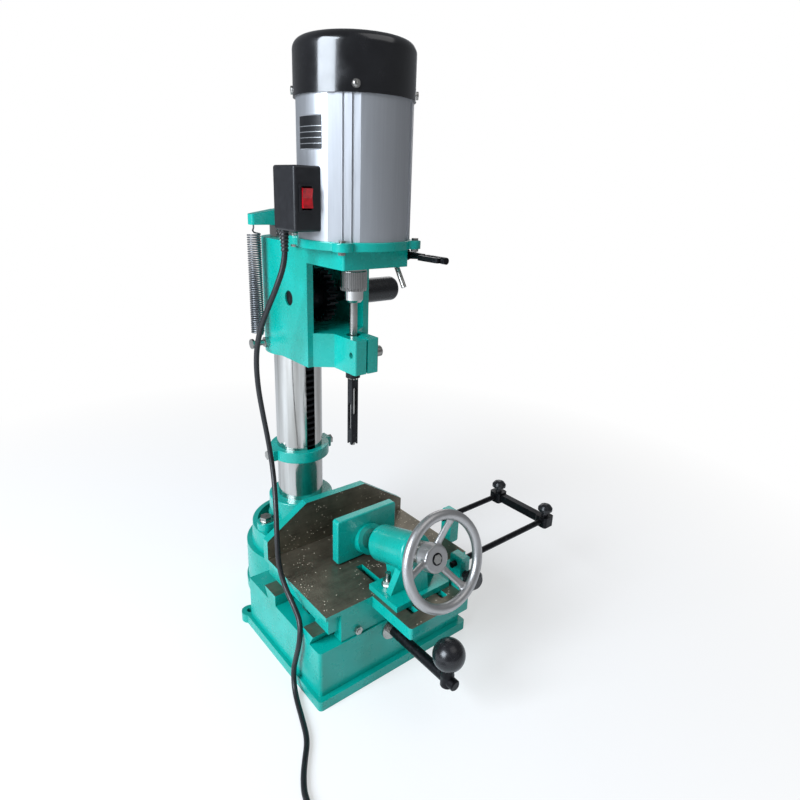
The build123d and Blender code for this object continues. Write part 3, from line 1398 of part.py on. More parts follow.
# ---------------------------------------------------------------- chuck
with BuildPart() as chuck_body:
    with BuildSketch(Plane.XZ.offset(THROAT)):
        with BuildLine():
            Polyline(
                (BIT_SHANK_R, 488),
                (9.5, 488),
                (12, 491),
                (12.5, 503),
                (14, 503),
                (14, 528),
                (15.5, 528),
                (15.5, 543),
                (SHAFT_R, 543),
                (SHAFT_R, 541),
                (0, 541),
                (0, 520),
                (BIT_SHANK_R, 520),
                close=True,
            )
        make_face()
    revolve(axis=Axis((0, -THROAT, 0), (0, 0, 1)), revolution_arc=360)
save("chuck_body", chuck_body.part)

with BuildPart() as chuck_sleeve:
    with BuildSketch(at_z(506)):
        with Locations(SPINDLE):
            Circle(CHUCK_SLEEVE_R)
    extrude(amount=22)
    fillet(chuck_sleeve.edges().sort_by(Axis.Z)[-1], 1.5)
    with BuildSketch(at_z(503)):
        with Locations(SPINDLE):
            Circle(CHUCK_SLEEVE_R - 0.5)
    extrude(amount=3)
    with BuildSketch(at_z(503)):
        with Locations(SPINDLE):
            with PolarLocations(CHUCK_SLEEVE_R, 24):
                Circle(1.1)
    extrude(amount=4, mode=Mode.SUBTRACT)
    with BuildSketch(at_z(503)):
        with Locations(SPINDLE):
            Circle(14)
    extrude(amount=25, mode=Mode.SUBTRACT)
save("chuck_sleeve", chuck_sleeve.part)

with BuildPart() as auger_bit:
    with BuildSketch(at_z(CHISEL_SQUARE_Z + 6)):
        with Locations(SPINDLE):
            Circle(BIT_SHANK_R)
    extrude(amount=520 - CHISEL_SQUARE_Z - 6)
    with BuildSketch(at_z(CHISEL_TIP_Z - 1.5)):
        with Locations(SPINDLE):
            Circle(AUGER_R)
    extrude(amount=CHISEL_SQUARE_Z + 6 - CHISEL_TIP_Z + 1.5)
save("auger_bit", auger_bit.part)

# ---------------------------------------------------------------- switch
with BuildPart() as switch_box:
    with BuildSketch(at_z(BOX_Z0)):
        with Locations(((BOX_X0 + BOX_X1) / 2, (BOX_Y0 + BOX_Y1) / 2)):
            Rectangle(BOX_X1 - BOX_X0, BOX_Y1 - BOX_Y0)
    extrude(amount=BOX_Z1 - BOX_Z0)
    fillet(switch_box.edges(), 3)
    with BuildSketch(at_z(BOX_Z0 + BOX_WALL)):
        with Locations(((BOX_X0 + BOX_X1) / 2, (BOX_Y0 + BOX_Y1) / 2)):
            Rectangle(BOX_X1 - BOX_X0 - 2 * BOX_WALL, BOX_Y1 - BOX_Y0 - 2 * BOX_WALL)
    extrude(amount=BOX_Z1 - BOX_Z0 - 2 * BOX_WALL, mode=Mode.SUBTRACT)
    # back wall that follows the motor shell
    with BuildSketch(at_z(BOX_Z0 + 1)):
        with Locations(SPINDLE):
            Circle(SHELL_R + 3)
        with Locations(((BOX_X0 + BOX_X1) / 2, (BOX_Y0 + BOX_Y1) / 2)):
            Rectangle(BOX_X1 - BOX_X0 - 2, BOX_Y1 - BOX_Y0 - 2, mode=Mode.INTERSECT)
    extrude(amount=BOX_Z1 - BOX_Z0 - 2)
    # switch body and its bezel
    with BuildSketch(along_y(ROCKER_X, BOX_Y0 + 18, ROCKER_Z)):
        Rectangle(2 * ROCKER_HALF_W + 3, 2 * ROCKER_HALF_H + 3)
    extrude(amount=17)
    with BuildSketch(along_y(ROCKER_X, BOX_Y0 + 1, ROCKER_Z)):
        RectangleRounded(2 * ROCKER_HALF_W + 5, 2 * ROCKER_HALF_H + 5, 1.5)
    extrude(amount=2.5)
    with BuildSketch(along_y(ROCKER_X, BOX_Y0 - 5, ROCKER_Z)):
        Rectangle(2 * ROCKER_HALF_W, 2 * ROCKER_HALF_H)
    extrude(amount=-21, mode=Mode.SUBTRACT)
    with BuildSketch(at_z(BOX_Z0)):
        with Locations(SPINDLE):
            Circle(SHELL_R)
    extrude(amount=BOX_Z1 - BOX_Z0, mode=Mode.SUBTRACT)
    with BuildSketch(at_z(BOX_Z0)):
        with Locations((CORD_EXIT_X, CORD_EXIT_Y)):
            Circle(CORD_R + 0.5)
    extrude(amount=10, mode=Mode.SUBTRACT)
save("switch_box", switch_box.part)

with BuildPart() as rocker:
    pivot_y = BOX_Y0 + 6
    half_h = ROCKER_HALF_H - 0.6
    with BuildSketch(Plane.YZ.offset(ROCKER_X - ROCKER_HALF_W + 0.4)):
        with BuildLine():
            face = Polyline(
                (BOX_Y0 - 4.5, ROCKER_Z + half_h - 1.5),
                (BOX_Y0 - 2.6, ROCKER_Z),
                (BOX_Y0 - 4.5, ROCKER_Z - half_h + 1.5),
                (BOX_Y0 + 3, ROCKER_Z - half_h + 1),
                (pivot_y + 4, ROCKER_Z - 4),
                (pivot_y + 4, ROCKER_Z + 4),
                (BOX_Y0 + 3, ROCKER_Z + half_h - 1),
                close=True,
            )
        make_face()
    extrude(amount=2 * ROCKER_HALF_W - 0.8)
    with BuildSketch(Plane.YZ.offset(ROCKER_X - ROCKER_HALF_W)):
        with Locations((pivot_y, ROCKER_Z)):
            Circle(1.5)
    extrude(amount=2 * ROCKER_HALF_W)
save("rocker", rocker.part)

with BuildPart() as cord_gland:
    with BuildSketch(at_z(BOX_Z0)):
        with Locations((CORD_EXIT_X, CORD_EXIT_Y)):
            Circle(GLAND_R)
    with BuildSketch(at_z(GLAND_END_Z)):
        with Locations((CORD_EXIT_X, CORD_EXIT_Y)):
            Circle(CORD_R + 0.8)
    loft()
    with BuildSketch(at_z(BOX_Z0)):
        with Locations((CORD_EXIT_X, CORD_EXIT_Y)):
            Circle(CORD_R + 0.5)
    extrude(amount=BOX_WALL + 1)
save("cord_gland", cord_gland.part)

# ---------------------------------------------------------------- spring
def biarc(start, start_dir, end, end_dir):
    """Two tangent arcs from one point and direction to another."""
    across = end - start
    both = start_dir + end_dir
    a = 2 * (start_dir.dot(end_dir) - 1)
    b = -2 * across.dot(both)
    c = across.dot(across)
    reach = (-b - sqrt(b * b - 4 * a * c)) / (2 * a)
    middle = (start + start_dir * reach + end - end_dir * reach) * 0.5
    first = TangentArc(start, middle, tangent=start_dir)
    return first, TangentArc(middle, end, tangent=first % 1)


SPRING_PITCH = (SPRING_TOP_Z - SPRING_BOTTOM_Z) / SPRING_CURLS


def on_helix(half_turns):
    """Point and direction on the spring's wire after so many half turns."""
    angle = pi * half_turns
    rise = SPRING_PITCH / (2 * pi)
    point = Vector(
        SPRING_X + SPRING_COIL_R * cos(angle),
        SPRING_COIL_R * sin(angle),
        SPRING_BOTTOM_Z + rise * angle,
    )
    along = Vector(-SPRING_COIL_R * sin(angle), SPRING_COIL_R * cos(angle), rise)
    return point, along.normalized()


print("spring gap between curls", round(SPRING_PITCH - 2 * SPRING_WIRE_R, 2))
UP = Vector(0, 0, 1)
with BuildPart() as counter_spring:
    with BuildLine() as wire:
        # leg on the anchor, curls, leg in the arm
        leg_end = Vector(SPRING_X, 0, SPRING_BOTTOM_Z - 9)
        leg_start = Vector(SPRING_X, 0, ANCHOR_Z + ANCHOR_R + FREE)
        Line(leg_start, leg_end)
        biarc(leg_end, UP, *on_helix(0))
        for step in range(2 * SPRING_CURLS):
            biarc(*on_helix(step), *on_helix(step + 1))
        arm_leg = Vector(SPRING_X, 0, SPRING_TOP_Z + 9)
        biarc(*on_helix(2 * SPRING_CURLS), arm_leg, UP)
        Line(arm_leg, Vector(SPRING_X, 0, COLUMN_TOP_Z + ARM_T - 6))
    with BuildSketch(Plane(origin=leg_start, z_dir=UP)):
        Circle(SPRING_WIRE_R)
    sweep(path=wire.wires()[0])
save("counter_spring", counter_spring.part)

# ---------------------------------------------------------------- cord
CORD_DROP = [
    (CORD_EXIT_X, CORD_EXIT_Y, GLAND_END_Z - CORD_GAP),
    (-88.5, -129, 537),
    (-97, -124, 510),
    (-104, -112, 482),
    (-107, -95, 452),
    (-107, -82, 418),
    (-103, -75, 376),
    (-96, -72, 334),
    (-91, -76, 292),
    (-94, -93, 252),
    (-105, -118, 216),
    (-115, -137, 182),
    (-119, -147, 148),
    (-119, -163, 124),
    (-119, -187, 108),
    (-122, -207, 98),
    (-129, -216, 78),
    (-130.25, -209, 52),
]
CORD_LAY = [
    (-130.264, -208.922, 51.709),
    (-131.5, -202, 26),
    (-138, -216, 3.7),
    (-152, -261, 3.6),
    (-161, -287, 3.6),
    (-177, -308, 3.6),
    (-189, -325, 3.6),
    (-200, -347, 3.6),
    (-202, -378, 3.7),
]
COIL_X = -242.0
COIL_Y = -424.0
COIL_R = 38.5
COIL_PITCH = 7.8
COIL_TURNS = 3.24
COIL_START = -3.0  # degrees round from +X
COIL_BOTTOM_Z = 4.4
LEAD = 2 * CORD_R


def corner_radii(route):
    """The largest arc for each corner: 0.45 of its shorter run."""
    radii = []
    for before, here, after in zip(route, route[1:], route[2:]):
        first = Vector(*here) - Vector(*before)
        second = Vector(*after) - Vector(*here)
        turn = radians(first.get_angle(second))
        radii.append(0.45 * min(first.length, second.length) / tan(turn / 2))
    return radii


def cord_tube(name, route):
    """Sweep the cord along straight runs joined by tangent arcs."""
    radii = corner_radii(route)
    print(name, "radii", [round(r) for r in radii])
    with BuildPart() as tube:
        with BuildLine() as path:
            FilletPolyline(*route, radius=radii)
        with BuildSketch(Plane(origin=route[0], z_dir=path.wires()[0] % 0)):
            Circle(CORD_R)
        sweep(path=path.wires()[0])
    length = path.wires()[0].length
    print(name, "length", round(length), "volume", round(tube.part.volume),
          "section x length", round(pi * CORD_R ** 2 * length))
    save(name, tube.part)


def on_coil(half_turns):
    """Point and direction on the coil of cord after so many half turns."""
    angle = radians(COIL_START) - pi * half_turns
    rise = COIL_PITCH / (2 * pi)
    point = Vector(
        COIL_X + COIL_R * cos(angle),
        COIL_Y + COIL_R * sin(angle),
        COIL_BOTTOM_Z + COIL_PITCH * half_turns / 2,
    )
    return point, Vector(COIL_R * sin(angle), -COIL_R * cos(angle), rise).normalized()


coil_in, coil_in_dir = on_coil(0)
coil_out, coil_out_dir = on_coil(2 * COIL_TURNS)
lay_end = coil_in - coil_in_dir * LEAD
cord_tube("cord_drop", CORD_DROP)
cord_tube("cord_lay", CORD_LAY + [tuple(lay_end)])

print("coil gap between loops", round(COIL_PITCH - 2 * CORD_R, 2))
with BuildPart() as cord_coil:
    with BuildLine() as loops:
        Line(lay_end + coil_in_dir * CORD_GAP, coil_in)
        whole = int(2 * COIL_TURNS)
        for step in range(whole):
            biarc(*on_coil(step), *on_coil(step + 1))
        biarc(*on_coil(whole), coil_out, coil_out_dir)
        Line(coil_out, coil_out + coil_out_dir * LEAD)
    with BuildSketch(Plane(origin=lay_end + coil_in_dir * CORD_GAP, z_dir=coil_in_dir)):
        Circle(CORD_R)
    sweep(path=loops.wires()[0])
print("cord_coil length", round(loops.wires()[0].length), "volume", round(cord_coil.part.volume),
      "section x length", round(pi * CORD_R ** 2 * loops.wires()[0].length))
save("cord_coil", cord_coil.part)

# the tail comes down from the coil's top loop to the plug
tail_start = coil_out + coil_out_dir * (LEAD + CORD_GAP)
PLUG_X = -340.0
PLUG_Y = -461.0
PLUG_LEN = 34.0
PLUG_W = 26.0
PLUG_T = 22.0
CORD_TAIL = [
    tuple(tail_start),
    (tail_start.X - 20, tail_start.Y, tail_start.Z),
    (PLUG_X + 20, PLUG_Y, PLUG_T / 2),
    (PLUG_X + CORD_GAP, PLUG_Y, PLUG_T / 2),
]
cord_tube("cord_tail", CORD_TAIL)

with BuildPart() as plug:
    nose = Plane(origin=(PLUG_X, PLUG_Y, PLUG_T / 2), x_dir=(0, 1, 0), z_dir=(-1, 0, 0))
    with BuildSketch(nose):
        Circle(CORD_R + 1.5)
    with BuildSketch(nose.offset(14)):
        RectangleRounded(PLUG_W - 6, PLUG_T - 4, 6)
    with BuildSketch(nose.offset(20)):
        RectangleRounded(PLUG_W, PLUG_T, 6)
    with BuildSketch(nose.offset(PLUG_LEN)):
        RectangleRounded(PLUG_W, PLUG_T, 6)
    loft(ruled=True)
save("plug", plug.part)

with BuildPart() as plug_pins:
    with BuildSketch(nose.offset(PLUG_LEN)):
        with Locations((-6.35, 2), (6.35, 2)):
            Rectangle(1.5, 6.3)
        with Locations((0, -6)):
            Circle(2.4)
    extrude(amount=17)
save("plug_pins", plug_pins.part)
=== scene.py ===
"""Finishes, cord, spring and small parts of the benchtop mortiser, in metres.

+Z is up, -Y is the operator's side, and the column stands on the origin.
"""
from math import cos, pi, radians, sin

import bmesh
import bpy
from mathutils import Matrix, Vector


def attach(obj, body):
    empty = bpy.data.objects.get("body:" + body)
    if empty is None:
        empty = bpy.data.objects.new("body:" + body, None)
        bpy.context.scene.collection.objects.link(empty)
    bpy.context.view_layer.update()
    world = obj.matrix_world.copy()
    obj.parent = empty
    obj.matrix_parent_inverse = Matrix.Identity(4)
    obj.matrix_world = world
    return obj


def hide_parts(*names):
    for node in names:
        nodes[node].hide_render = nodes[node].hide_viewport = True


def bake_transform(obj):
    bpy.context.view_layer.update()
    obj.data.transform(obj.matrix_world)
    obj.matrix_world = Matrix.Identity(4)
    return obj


MM = 0.001

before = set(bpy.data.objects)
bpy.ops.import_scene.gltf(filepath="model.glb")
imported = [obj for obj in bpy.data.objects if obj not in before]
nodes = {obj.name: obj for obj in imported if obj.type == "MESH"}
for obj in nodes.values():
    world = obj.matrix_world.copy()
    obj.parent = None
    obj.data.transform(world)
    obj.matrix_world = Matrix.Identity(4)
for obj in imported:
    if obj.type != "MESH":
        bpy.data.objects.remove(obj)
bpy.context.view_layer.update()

# Places and sizes that the CAD model sets
SPINDLE_Y = -144 * MM
SHELL_R = 67.5 * MM
COVER_R = 70.3 * MM
CLAMP_TILT = radians(17)
CLAMP_START = Vector((8, -171, 155)) * MM
CLAMP_OUT = Vector((0, -cos(CLAMP_TILT), sin(CLAMP_TILT)))


# ------------------------------------------------------------ material tools
def linear(code, alpha=1.0):
    """An sRGB hex colour as linear values."""
    parts = [int(code[i : i + 2], 16) / 255 for i in (1, 3, 5)]
    return tuple(
        c / 12.92 if c <= 0.04045 else ((c + 0.055) / 1.055) ** 2.4 for c in parts
    ) + (alpha,)


def add(tree, kind, inputs=None, **settings):
    """Adds a node. An input is a value, or the socket of another node."""
    node = tree.nodes.new("ShaderNode" + kind)
    for name, value in settings.items():
        setattr(node, name, value)
    for name, value in (inputs or {}).items():
        if isinstance(value, bpy.types.NodeSocket):
            tree.links.new(value, node.inputs[name])
        else:
            node.inputs[name].default_value = value
    return node


def finish_of(name, surface, relief=None, relief_depth=0.1, relief_distance=1 * MM):
    """A material whose shader has these inputs, with relief as its bump."""
    material = bpy.data.materials.new(name)
    material.use_nodes = True
    tree = material.node_tree
    tree.nodes.clear()
    made = surface(tree)
    shader = add(tree, "BsdfPrincipled", made)
    if relief is not None:
        height = relief(tree)
        bump = add(
            tree, "Bump", {"Height": height, "Strength": relief_depth, "Distance": relief_distance}
        )
        tree.links.new(bump.outputs["Normal"], shader.inputs["Normal"])
    output = add(tree, "OutputMaterial")
    tree.links.new(shader.outputs[0], output.inputs["Surface"])
    return material


def place(tree, stretch=(1, 1, 1)):
    """The point on the piece, in metres, stretched along its axes."""
    spot = add(tree, "TexCoord")
    return add(tree, "Mapping", {"Vector": spot.outputs["Object"], "Scale": stretch}).outputs[0]


def grain(tree, size, detail=3.0, roughness=0.5, stretch=(1, 1, 1)):
    """Noise with blotches of this size in metres."""
    return add(
        tree,
        "TexNoise",
        {
            "Vector": place(tree, stretch),
            "Scale": 1 / size,
            "Detail": detail,
            "Roughness": roughness,
        },
    ).outputs["Fac"]


def ramp(tree, value, low, high, start=0.0, end=1.0):
    """Maps low..high of a value to start..end."""
    return add(
        tree,
        "MapRange",
        {"Value": value, "From Min": low, "From Max": high, "To Min": start, "To Max": end},
    ).outputs[0]


def blend_colours(tree, factor, first, second):
    """The first colour where the factor is 0, the second where it is 1."""
    mix = add(tree, "Mix", {0: factor, 6: first, 7: second}, data_type="RGBA")
    return mix.outputs[2]


def times(tree, first, second):
    return add(tree, "Math", {0: first, 1: second}, operation="MULTIPLY").outputs[0]


def machined_faces(tree, faces):
    """1 on the machined faces: each is (lowest corner, highest corner, way it faces)."""
    spot = add(tree, "TexCoord")
    total = None
    for low, high, facing in faces:
        middle = (Vector(low) + Vector(high)) / 2 * MM
        half = (Vector(high) - Vector(low)) / 2 * MM
        away = add(
            tree,
            "VectorMath",
            {0: spot.outputs["Object"], 1: middle},
            operation="SUBTRACT",
        ).outputs[0]
        away = add(tree, "VectorMath", {0: away}, operation="ABSOLUTE").outputs[0]
        inside = add(tree, "VectorMath", {0: half, 1: away}, operation="SUBTRACT").outputs[0]
        axes = add(tree, "SeparateXYZ", {0: inside})
        least = add(tree, "Math", {0: axes.outputs[0], 1: axes.outputs[1]}, operation="MINIMUM")
        least = add(tree, "Math", {0: least.outputs[0], 1: axes.outputs[2]}, operation="MINIMUM")
        within = add(tree, "Math", {0: least.outputs[0], 1: 0.0}, operation="GREATER_THAN")
        turned = add(
            tree,
            "VectorMath",
            {0: spot.outputs["Normal"], 1: Vector(facing)},
            operation="DOT_PRODUCT",
        ).outputs["Value"]
        turned = add(tree, "Math", {0: turned, 1: 0.9}, operation="GREATER_THAN").outputs[0]
        here = times(tree, within.outputs[0], turned)
        if total is None:
            total = here
        else:
            total = add(tree, "Math", {0: total, 1: here}, operation="MAXIMUM").outputs[0]
    return total


# ------------------------------------------------------------ materials
GREEN = "#00A498"
GREEN_DEEP = "#009384"
OILED_IRON = "#7A7263"
OILED_IRON_DARK = "#565044"
SAWDUST = "#D9CDB6"


def enamel_colour(tree):
    """Sprayed enamel is nearly even, a little deeper where it pools."""
    pooled = ramp(tree, grain(tree, 60 * MM, 2), 0.35, 0.7)
    return blend_colours(tree, pooled, linear(GREEN), linear(GREEN_DEEP))


def enamel_relief(tree):
    """Sand-cast iron shows through the paint as soft lumps, with orange peel on top."""
    lumps = grain(tree, 9 * MM, 2)
    peel = grain(tree, 1.6 * MM, 2)
    return add(tree, "Math", {0: lumps, 1: peel, 2: 0.0}, operation="ADD").outputs[0]


def green_enamel():
    """Gloss enamel on sand-cast iron: deep colour, soft highlights, slight waviness."""
    return finish_of(
        "green_gloss_enamel_on_cast_iron",
        lambda tree: {
            "Base Color": enamel_colour(tree),
            "Roughness": ramp(tree, grain(tree, 14 * MM), 0.3, 0.7, 0.22, 0.34),
            "IOR": 1.5,
            "Coat Weight": 0.2,
            "Coat Roughness": 0.1,
        },
        enamel_relief,
        0.12,
        0.6 * MM,
    )


def enamel_with_machined_faces(name, faces, dusty=0.0):
    """Enamelled casting whose working faces are milled and oiled to a dark brown-grey."""

    def surface(tree):
        bare = machined_faces(tree, faces)
        cutter_marks = grain(tree, 1.4 * MM, 3, 0.6, (0.06, 1, 1))
        stain = ramp(tree, grain(tree, 35 * MM, 4, 0.6), 0.35, 0.65)
        iron = blend_colours(tree, stain, linear(OILED_IRON), linear(OILED_IRON_DARK))
        marks = ramp(tree, cutter_marks, 0.3, 0.75, 0.0, 0.35)
        iron = blend_colours(tree, marks, iron, linear("#948B7A"))
        rough = ramp(tree, cutter_marks, 0.3, 0.7, 0.34, 0.55)
        if dusty:
            # sawdust: flecks of 1 to 2 mm, thicker in some places than in others
            fleck = add(
                tree,
                "TexVoronoi",
                {"Vector": place(tree), "Scale": 1 / (3.2 * MM), "Randomness": 1.0},
            )
            small = add(
                tree, "Math", {0: fleck.outputs["Distance"], 1: 0.24}, operation="LESS_THAN"
            ).outputs[0]
            chance = add(tree, "SeparateXYZ", {0: fleck.outputs["Color"]}).outputs[0]
            drift = ramp(tree, grain(tree, 30 * MM, 2), 0.42, 0.72, 0.0, dusty)
            lies = add(tree, "Math", {0: chance, 1: drift}, operation="LESS_THAN").outputs[0]
            dust = times(tree, small, lies)
            iron = blend_colours(tree, dust, iron, linear(SAWDUST))
            rough = add(tree, "Math", {0: rough, 1: dust}, operation="MAXIMUM").outputs[0]
            metal = add(tree, "Math", {0: bare, 1: dust}, operation="SUBTRACT", use_clamp=True)
            metal = times(tree, metal.outputs[0], 0.75)
        else:
            metal = times(tree, bare, 0.75)
        enamel_rough = ramp(tree, grain(tree, 14 * MM), 0.3, 0.7, 0.24, 0.36)
        return {
            "Base Color": blend_colours(tree, bare, enamel_colour(tree), iron),
            "Metallic": metal,
            "Roughness": add(tree, "Mix", {0: bare, 2: enamel_rough, 3: rough}).outputs[0],
            "IOR": 1.5,
        }

    def relief(tree):
        bare = machined_faces(tree, faces)
        marks = times(tree, grain(tree, 1.4 * MM, 3, 0.6, (0.06, 1, 1)), 0.4)
        return add(tree, "Mix", {0: bare, 2: enamel_relief(tree), 3: marks}).outputs[0]

    return finish_of(name, surface, relief, 0.12, 0.6 * MM)


def bright_steel(name, colour, low, high, stretch, streak=0.8 * MM):
    """Ground or drawn steel: mirror-like along its grain, with fine streaks of wear."""
    return finish_of(
        name,
        lambda tree: {
            "Base Color": blend_colours(
                tree,
                ramp(tree, grain(tree, 18 * MM, 3, 0.6, stretch), 0.35, 0.7),
                linear(colour),
                linear("#9A9792"),
            ),
            "Metallic": 1.0,
            "Roughness": ramp(tree, grain(tree, streak, 3, 0.6, stretch), 0.3, 0.7, low, high),
        },
        lambda tree: grain(tree, streak, 2, 0.5, stretch),
        0.04,
        0.2 * MM,
    )


def black_oxide(name="blackened_steel", colour="#17171A", rough=0.38):
    """Blackened steel: dark, satin, with lighter rubbed places."""
    return finish_of(
        name,
        lambda tree: {
            "Base Color": blend_colours(
                tree,
                ramp(tree, grain(tree, 6 * MM, 4, 0.6), 0.55, 0.8),
                linear(colour),
                linear("#3A3A3C"),
            ),
            "Metallic": 0.7,
            "Roughness": ramp(tree, grain(tree, 2 * MM), 0.3, 0.7, rough - 0.08, rough + 0.1),
        },
        lambda tree: grain(tree, 0.8 * MM, 2),
        0.08,
        0.2 * MM,
    )


def chromed_steel():
    """Chrome on a keyed chuck: near mirror, with faint handling haze."""
    return finish_of(
        "chromed_steel",
        lambda tree: {
            "Base Color": linear("#C9C7C4"),
            "Metallic": 1.0,
            "Roughness": ramp(tree, grain(tree, 5 * MM, 3), 0.35, 0.7, 0.08, 0.22),
        },
        lambda tree: grain(tree, 3 * MM, 2),
        0.03,
        0.2 * MM,
    )


def knurled_chrome():
    """Chromed sleeve with rows of fine grip grooves around it, their depth darkened with painted
    shade.
    """

    def groove(tree):
        spot = add(tree, "TexCoord")
        centred = add(
            tree,
            "VectorMath",
            {0: spot.outputs["Object"], 1: (0, SPINDLE_Y, 0)},
            operation="SUBTRACT",
        ).outputs[0]
        turn = add(tree, "TexGradient", {"Vector": centred}, gradient_type="RADIAL").outputs["Fac"]
        step = add(tree, "Math", {0: times(tree, turn, 44.0)}, operation="FRACT").outputs[0]
        away = add(tree, "Math", {0: step, 1: 0.5}, operation="SUBTRACT").outputs[0]
        return add(tree, "Math", {0: away}, operation="ABSOLUTE").outputs[0]

    return finish_of(
        "knurled_chrome",
        lambda tree: {
            # painted shade: the bottom of each groove is coloured dark grey to stand in for the
            # shade in it
            "Base Color": blend_colours(
                tree, ramp(tree, groove(tree), 0.0, 0.25), linear("#3B3A39"), linear("#C2C0BD")
            ),
            "Metallic": 1.0,
            "Roughness": 0.2,
        },
        groove,
        0.5,
        0.5 * MM,
    )


def anodised_extrusion():
    """Anodised aluminium extrusion: pale satin with drawing lines up its length."""
    lines = (1, 1, 0.02)
    return finish_of(
        "anodised_aluminium_extrusion",
        lambda tree: {
            "Base Color": blend_colours(
                tree, grain(tree, 3 * MM, 3, 0.6, lines), linear("#C4C6CA"), linear("#B2B4B8")
            ),
            "Metallic": 0.85,
            "Roughness": ramp(tree, grain(tree, 1 * MM, 3, 0.6, lines), 0.3, 0.7, 0.34, 0.46),
        },
        lambda tree: grain(tree, 0.9 * MM, 2, 0.5, lines),
        0.06,
        0.2 * MM,
    )


def cast_aluminium():
    """Tumbled cast aluminium: soft grey sheen with fine speckle."""
    return finish_of(
        "tumbled_cast_aluminium",
        lambda tree: {
            "Base Color": blend_colours(
                tree, grain(tree, 0.9 * MM, 3, 0.7), linear("#A9A7A6"), linear("#C6C4C3")
            ),
            "Metallic": 0.9,
            "Roughness": ramp(tree, grain(tree, 3 * MM), 0.3, 0.7, 0.32, 0.46),
        },
        lambda tree: grain(tree, 0.7 * MM, 3, 0.6),
        0.14,
        0.15 * MM,
    )


def black_enamel():
    """Baked black enamel on pressed steel: glossy, with faint dust."""
    return finish_of(
        "baked_black_enamel",
        lambda tree: {
            "Base Color": blend_colours(
                tree,
                ramp(tree, grain(tree, 40 * MM, 4), 0.4, 0.8),
                linear("#0B0B0D"),
                linear("#141417"),
            ),
            "Roughness": ramp(tree, grain(tree, 20 * MM, 4), 0.35, 0.75, 0.16, 0.3),
            "IOR": 1.5,
            "Coat Weight": 0.5,
            "Coat Roughness": 0.08,
        },
        lambda tree: grain(tree, 2 * MM, 2),
        0.04,
        0.3 * MM,
    )


def moulded_plastic(name, colour, low=0.3, high=0.45, depth=0.1):
    """Moulded plastic: even colour, fine spark-eroded grain."""
    return finish_of(
        name,
        lambda tree: {
            "Base Color": blend_colours(
                tree, grain(tree, 12 * MM, 3), linear(colour), linear("#222225")
            ),
            "Roughness": ramp(tree, grain(tree, 6 * MM), 0.3, 0.7, low, high),
            "IOR": 1.5,
        },
        lambda tree: grain(tree, 0.8 * MM, 2, 0.6),
        depth,
        0.15 * MM,
    )


def vinyl_cord():
    """Extruded PVC sheath: soft black with a low sheen and faint draw lines."""
    return finish_of(
        "extruded_vinyl_sheath",
        lambda tree: {
            "Base Color": blend_colours(
                tree, grain(tree, 25 * MM, 3), linear("#0E0E10"), linear("#1B1B1E")
            ),
            "Roughness": ramp(tree, grain(tree, 4 * MM), 0.3, 0.7, 0.34, 0.5),
            "IOR": 1.5,
        },
        lambda tree: grain(tree, 1.2 * MM, 2),
        0.08,
        0.2 * MM,
    )


def red_rocker_plastic():
    """Clear red polycarbonate over a lamp: bright, glossy, darker in its depth."""
    return finish_of(
        "red_polycarbonate",
        lambda tree: {
            "Base Color": blend_colours(
                tree,
                ramp(tree, grain(tree, 8 * MM, 2), 0.35, 0.7),
                linear("#D5121F"),
                linear("#8E0A14"),
            ),
            "Roughness": ramp(tree, grain(tree, 5 * MM), 0.3, 0.7, 0.1, 0.18),
            "IOR": 1.58,
            "Coat Weight": 0.4,
        },
        lambda tree: grain(tree, 4 * MM, 1),
        0.03,
        0.3 * MM,
    )


GREEN_ENAMEL = green_enamel()
TABLE_ENAMEL = enamel_with_machined_faces(
    "enamelled_table_with_milled_top",
    [
        ((-140, -340, 124), (140, -80, 129), (0, 0, 1)),
        ((-140, -101, 127), (140, -99, 200), (0, -1, 0)),
        ((-140, -340, 108), (140, -180, 122), (0, 0, 1)),
    ],
    dusty=0.55,
)
BASE_ENAMEL = enamel_with_machined_faces(
    "enamelled_base_with_milled_rails",
    [
        ((-125, -238, 95), (125, -108, 97), (0, 0, 1)),
    ],
)
COLUMN_STEEL = bright_steel("ground_column_steel", "#D6D5D2", 0.1, 0.2, (1, 1, 0.05))
BOLT_STEEL = bright_steel("zinc_plated_steel", "#B4B2AE", 0.2, 0.36, (1, 1, 1))
BLACK_STEEL = black_oxide()
SPRING_STEEL = black_oxide("oiled_spring_wire", "#6E7073", 0.28)
CHISEL_STEEL = black_oxide("blackened_chisel_steel", "#1E1E21", 0.33)
CHROME = chromed_steel()
KNURL = knurled_chrome()
EXTRUSION = anodised_extrusion()
CAST_ALUMINIUM = cast_aluminium()
BLACK_ENAMEL = black_enamel()
BOX_ABS = moulded_plastic("black_abs", "#111114", 0.3, 0.44)
KNOB_PLASTIC = moulded_plastic("black_phenolic", "#0C0C0E", 0.2, 0.32, 0.05)
VINYL = vinyl_cord()
RED = red_rocker_plastic()
BRASS = bright_steel("brass_pins", "#C9A35A", 0.18, 0.3, (1, 1, 1))

